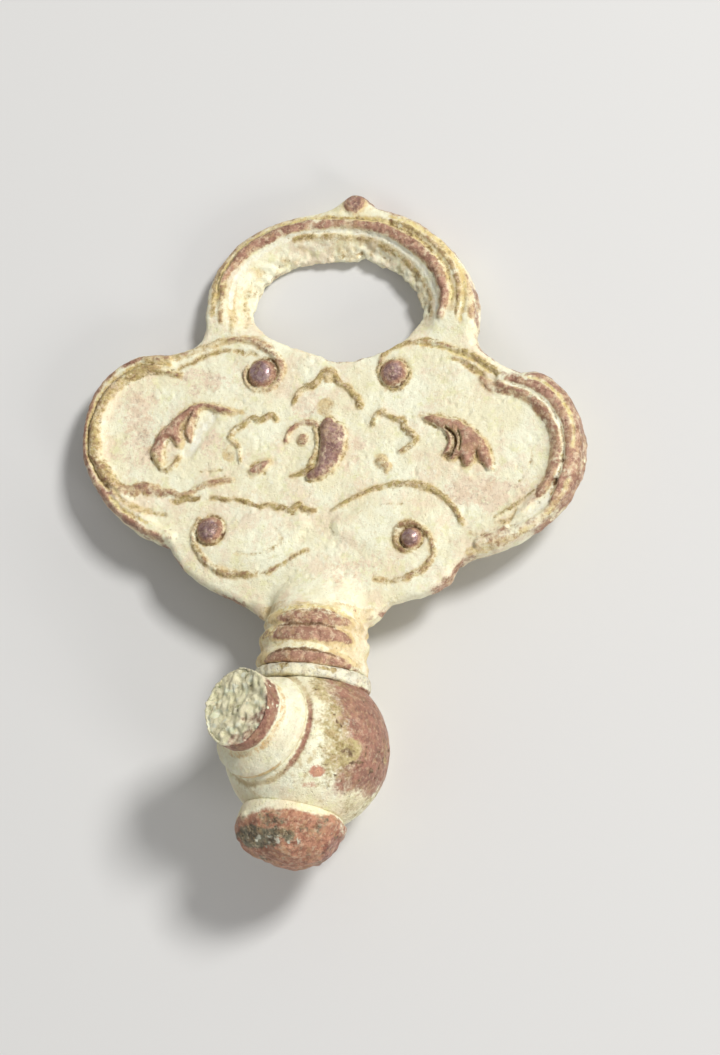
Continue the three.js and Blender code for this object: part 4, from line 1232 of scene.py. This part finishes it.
def make_ball():
    """The worn ball with its flats, the groove round the side flange and its bare patch."""
    bpy.ops.object.select_all(action="DESELECT")
    bpy.ops.mesh.primitive_uv_sphere_add(segments=TURNED_SIDES, ring_count=TURNED_SIDES // 2,
                                         radius=BALL_RADIUS)
    ball = bpy.context.object
    remesh(ball, BALL_VOXEL)
    co = places(ball)
    n = co / np.linalg.norm(co, axis=1)[:, None]
    co = n * BALL_RADIUS + BALL_LEAN
    skin = waves(co, (0.03, 2.4, 21), (0.03, 0.5, 22), (0.015, 0.25, 23))
    worn = on_ball(co, 6.2, 0.9, 3.4, 4.2, 0.15, 24)
    skin -= (0.05 + 0.09 * worn) * step(lumps(co, 0.32, 25), 0.6, 0.85)
    from_side = np.linalg.norm(off_axis(co, SIDE), axis=1)
    groove = hump(from_side - GROOVE_RADIUS, GROOVE_WIDTH) * (co @ SIDE > 2)
    skin -= GROOVE_DEPTH * groove
    co += n * skin[:, None]
    for axis, reach in SEATS:
        over = np.clip(co @ axis - reach, 0, None)
        co -= over[:, None] * axis
    move_to(ball, co)

    # a bare patch on the right, whose shore runs down the ball and is green and tan
    r, u = co @ RIGHTWARDS, co @ UPWARDS
    near = step(co @ OUTWARDS, -3.5, -2.0)
    wobble = waves(co, (0.5, 1.3, 26), (0.25, 0.5, 27))
    shore = 3.1 - 0.07 * (u - 1.0) ** 2 + wobble
    masks = {
        "tan": 0.25 + waves(co, (0.25, 0.8, 90), (0.2, 0.35, 91)),
        "bare": 0.95 * step(r, shore - 1.8, shore + 1.4) * step(u + wobble, -4.4, -1.2) * near,
        "green": 0.7 * hump(r - shore + 0.7, 1.0) * step(u + wobble, -2.8, -1.0) * near,
        "salmon": 0.9 * on_ball(co, 0.95, -1.05, 0.62, 0.55, 0.12, 32),
    }
    moss = step(waves(co, (1.0, 1.5, 92), (0.4, 0.5, 93)), 0.2, 0.8)
    lift(masks, "green", 0.8 * on_ball(co, 2.95, 0.3, 1.1, 1.0, 0.3, 28))
    lift(masks, "green", 0.4 * step(u + wobble, -2.0, -3.4) * step(r, 1.5, 3.5) * near)
    lift(masks, "green", 0.45 * masks["bare"] * moss)
    lift(masks, "salmon", 0.55 * on_ball(co, 0.5, -2.0, 0.6, 0.3, 0.35, 34))
    # the groove is bare on its right and tan all round
    towards = off_axis(co, SIDE) @ (RIGHTWARDS * 0.93 - UPWARDS * 0.37) / 4
    lift(masks, "bare", groove * step(towards, 0.3, 0.75))
    lift(masks, "tan", 0.9 * groove)
    pits = step(lumps(co, 0.3, 36), 0.58, 0.85)
    masks["dark"] = pits * (0.3 + 0.6 * masks["bare"] + 0.4 * masks["green"])
    lift(masks, "dark", 0.9 * on_ball(co, 3.75, -0.5, 0.5, 0.13, 0.4, 38))
    lift(masks, "dark", 0.5 * on_ball(co, 3.0, 0.2, 0.6, 0.35, 0.5, 40))
    return ball, masks


def make_collar():
    """The collar, whose lip stands free on the right."""
    collar = turned("collar", COLLAR_PROFILE, (0, 1, 0))
    remesh(collar, VOXEL)
    co = places(collar)
    skin = waves(co, (0.05, 1.2, 41), (0.05, 0.5, 42), (0.04, 0.25, 43))
    skin -= 0.08 * step(lumps(co, 0.35, 44), 0.45, 0.8)
    skin *= step(np.hypot(co[:, 0], co[:, 2]), 3.0, 3.6)
    co = co + normals(collar) * skin[:, None]
    co[:, 1] = np.clip(co[:, 1], COLLAR_FOOT, COLLAR_TOP)
    lip = step(co[:, 0], 2.4, 4.0)
    co[:, 1] -= LIP_DROP * lip * (1 - step(co[:, 1], 4.8, 5.6))
    co[:, 0] += LIP_REACH * lip
    move_to(collar, co)
    return collar, {
        "grey": 0.55 + 0.4 * lumps(co, 0.9, 45),
        "olive": 0.6 * step(lumps(co, 0.45, 46), 0.3, 0.75),
        "bare": 0.8 * step(co[:, 0], 3.7, 4.1) * (1 - step(co[:, 1], 4.6, 4.9)),
    }


def make_side_root():
    """The side pipe's flange, moulding and stub, cut by its slanted break and worn."""
    root = turned("side root", SIDE_PROFILE, SIDE)
    only(root)
    bpy.ops.object.mode_set(mode="EDIT")
    bpy.ops.mesh.select_all(action="SELECT")
    bpy.ops.mesh.bisect(plane_co=tuple(SIDE_BREAK * SIDE), plane_no=tuple(BREAK_NORMAL),
                        use_fill=True, clear_outer=True)
    bpy.ops.object.mode_set(mode="OBJECT")
    remesh(root, SIDE_VOXEL)
    co = places(root)
    n = normals(root)
    broken = step((co - SIDE_BREAK * SIDE) @ BREAK_NORMAL, -0.3, -0.06)
    broken = broken * step(n @ BREAK_NORMAL, 0.25, 0.7)
    spoke = off_axis(co, SIDE)
    right, up = spoke @ RIGHTWARDS, spoke @ UPWARDS
    towards = 0.8 * right - 0.6 * up
    skin = waves(co, (0.03, 0.6, 51), (0.02, 0.25, 52))
    crack = waves(co, (0.16, 1.2, 53), (0.15, 0.5, 54), (0.13, 0.26, 55))
    # the break's right edge has crumbled down to the wall
    crumbled = step(towards + 0.55 * lumps(co, 0.8, 67), 1.3, 2.7)
    skin += broken * (crack - 0.12 - 0.5 * crumbled)
    stub = step(co @ SIDE, 6.3, 6.9)
    skin += stub * (1 - broken) * waves(co, (0.09, 0.9, 56), (0.04, 0.4, 62))
    # chipped at its upper left
    chip = step(-0.62 * right + 0.78 * up, 1.9, 2.9) * stub
    skin -= 0.38 * chip * (1 + 0.6 * lumps(co, 0.8, 63))
    rim = (1 - step(np.abs(co @ SIDE - 5.0), 0.3, 0.6)) * (1 - stub)
    skin += rim * 0.05 * lumps(co, 0.7, 57)
    skin[co @ SIDE < ROOT_FOOT] = 0
    co = co + n * skin[:, None]
    co[:, 1] = np.minimum(co[:, 1], COLLAR_FOOT - LIP_DROP - FLANGE_GAP)
    co += step(co @ SIDE, 5.4, 6.4)[:, None] * PIPE_LEAN
    move_to(root, co)

    far = co @ SIDE
    from_axis = np.linalg.norm(spoke, axis=1)
    towards = towards / 2.9
    stain = step(towards + 0.45 * lumps(co, 0.7, 66), 0.05, 0.6)
    wall = stub * (1 - broken) + broken * crumbled
    masks = {
        "broken": broken * (1 - 0.8 * crumbled) * (1 - 0.75 * stain),
        "bare": wall * step(towards + 0.2 * lumps(co, 0.7, 58), -0.1, 0.35),
    }
    lift(masks, "bare", 0.6 * broken * stain)
    edge = (1 - step(np.abs(far - 4.75), 0.08, 0.3)) * step(from_axis, 3.7, 3.8)
    edge *= step(-0.35 * right - 0.93 * up, 0.5, 2.5)
    masks["yellow"] = 0.8 * edge * step(lumps(co, 1.2, 59), -0.6, 0.2)
    fold = (1 - step(np.abs(far - 6.15), 0.12, 0.34)) * step(towards, -0.5, 0.1)
    lift(masks, "yellow", 0.5 * fold)
    grime = step(lumps(co, 0.8, 60), -0.1, 0.6) + step(lumps(co, 0.3, 61), 0.0, 0.7)
    masks["dark"] = 0.3 * masks["broken"] * grime
    masks["pale"] = 0.8 * masks["broken"] * step(lumps(co, 0.36, 64), 0.0, 0.6)
    # painted highlight: pale flecks on the glossy brown wall stand in for its glints
    lift(masks, "pale", 0.8 * masks["bare"] * step(lumps(co, 0.35, 65), 0.55, 0.85))
    return root, masks


def make_lower_root():
    """The lower pipe's flange and the rough dome that it is broken off to."""
    root = turned("lower root", LOWER_PROFILE, LOWER)
    remesh(root, LOWER_VOXEL)
    co = places(root)
    dome = step(co @ LOWER, 5.0, 5.5)
    skin = waves(co, (0.03, 0.6, 71), (0.02, 0.25, 72))
    skin += dome * waves(co, (0.16, 1.7, 73), (0.1, 0.7, 74), (0.06, 0.3, 75))
    skin[co @ LOWER < ROOT_FOOT] = 0
    co = co + normals(root) * skin[:, None]
    # the rim lies nearer the ball on the right than on the left
    lifted = step(co @ LOWER, 4.7, 5.6) * (1 - step(co @ LOWER, 6.2, 8.0))
    co += (0.09 * lifted * (co @ RIGHTWARDS + 0.9))[:, None] * UPWARDS
    move_to(root, co)

    r, u = co @ RIGHTWARDS, co @ UPWARDS
    spots = step(lumps(co, 0.9, 79), 0.15, 0.7) + step(lumps(co, 0.4, 80), 0.4, 0.8)
    flecks = step(lumps(co, 0.36, 81), 0.15, 0.6)
    smooth = 0.6 * lumps(co, 1.4, 77) + 0.4 * (r - 1.0) - 0.25 * (u + 6.0)
    masks = {
        "broken": step(co @ LOWER + 0.4 * lumps(co, 0.9, 76) + 0.1 * r, 4.75, 5.6),
        "bare": dome * step(smooth, 0.1, 0.9),
        "dark": 0.42 * dome * spots,
        "pale": 0.85 * flecks * on_ball(co, -2.3, -6.1, 2.0, 0.6, 0.3, 82),
    }
    lift(masks, "dark", 0.95 * dome * on_ball(co, -2.9, -5.75, 2.1, 0.85, 0.3, 78))
    # painted highlight: pale glints near the top middle of the dome
    lift(masks, "pale", 0.9 * flecks * on_ball(co, -0.6, -4.7, 0.8, 0.4, 0.3, 84))
    lift(masks, "pale", 0.45 * on_ball(co, 2.9, -5.2, 0.35, 1.1, 0.15, 86))
    masks["pale"] *= co @ LOWER > 4.9
    return root, masks


# How each piece is made, its name and material, and the body, solid and slot that it stands for
PIECES = [
    (make_bow, "bow_casting", bow_bronze, "bow", "bow", "bow_bronze"),
    (make_collar, "neck_collar_ring", collar_brass, "bow", "neck_collar", "collar_brass"),
    (make_ball, "hub_ball_worn", ball_bronze, "hub", "hub_ball", "ball_bronze"),
    (make_side_root, "side_pipe_break", side_brass, "hub", "side_pipe_root", "side_root_brass"),
    (make_lower_root, "lower_pipe_break", lower_brass, "hub", "lower_pipe_root",
     "lower_root_brass"),
]
for make, name, material, body, node, slot in PIECES:
    piece, masks = make()
    finish_piece(piece, name, masks, material, body, node)

browned_steel = stem_finish()
for name in ("swivel_stem", "keeper_pin"):
    node = frame["nodes"][name]
    node.data.materials.clear()
    node.data.materials.append(browned_steel)

# Floor, lights and camera

bpy.ops.object.select_all(action="DESELECT")
bpy.ops.mesh.primitive_plane_add(size=1.6)
floor = bpy.context.object
floor.name = "floor"
floor_paint = bpy.data.materials.new("pale floor")
floor_paint.use_nodes = True
floor_shader = floor_paint.node_tree.nodes["Principled BSDF"]
floor_shader.inputs["Base Color"].default_value = (0.72, 0.71, 0.69, 1)
floor_shader.inputs["Roughness"].default_value = 0.9
floor.data.materials.append(floor_paint)


def soft_lamp(name, offset, size, share):
    """A square lamp that looks at the key. A share of 1 alone lights a facing surface fully."""
    lamp = bpy.data.lights.new(name, "AREA")
    lamp.size = size
    lamp.energy = share * math.pi**2 * Vector(offset).length ** 2
    obj = bpy.data.objects.new(name, lamp)
    bpy.context.scene.collection.objects.link(obj)
    obj.location = offset
    obj.rotation_euler = (-Vector(offset)).to_track_quat("-Z", "Y").to_euler()


soft_lamp("key lamp", (0.36, 0.24, 0.44), 0.12, 0.86)
soft_lamp("low lamp", (0.42, -0.32, 0.24), 0.15, 0.24)
world = bpy.data.worlds.new("studio")
bpy.context.scene.world = world
world.use_nodes = True
world.node_tree.nodes["Background"].inputs[0].default_value = (1, 1, 1, 1)
world.node_tree.nodes["Background"].inputs[1].default_value = 0.35
bpy.context.scene.view_settings.view_transform = "Standard"

# The camera stands 400 mm off the ball, to its right and below, and frames the whole key
CAMERA_REACH = 400
FRAME_RIGHT = 4.0
FRAME_UP = 16.1
PIXELS_HIGH = 1055
FOCAL_PIXELS = 5600
SENSOR = 36
aim = FRAME_RIGHT * RIGHTWARDS + FRAME_UP * UPWARDS
eye = aim + CAMERA_REACH * OUTWARDS
camera = bpy.data.cameras.new("camera")
camera.sensor_fit = "VERTICAL"
camera.sensor_height = SENSOR
camera.lens = SENSOR * FOCAL_PIXELS / PIXELS_HIGH
camera_object = bpy.data.objects.new("camera", camera)
bpy.context.scene.collection.objects.link(camera_object)
stand = Matrix((RIGHTWARDS, UPWARDS, OUTWARDS)).transposed()
turn = TURN @ stand
camera_object.matrix_world = Matrix.Translation(KEY @ Vector(eye)) @ turn.to_4x4()
bpy.context.scene.camera = camera_object
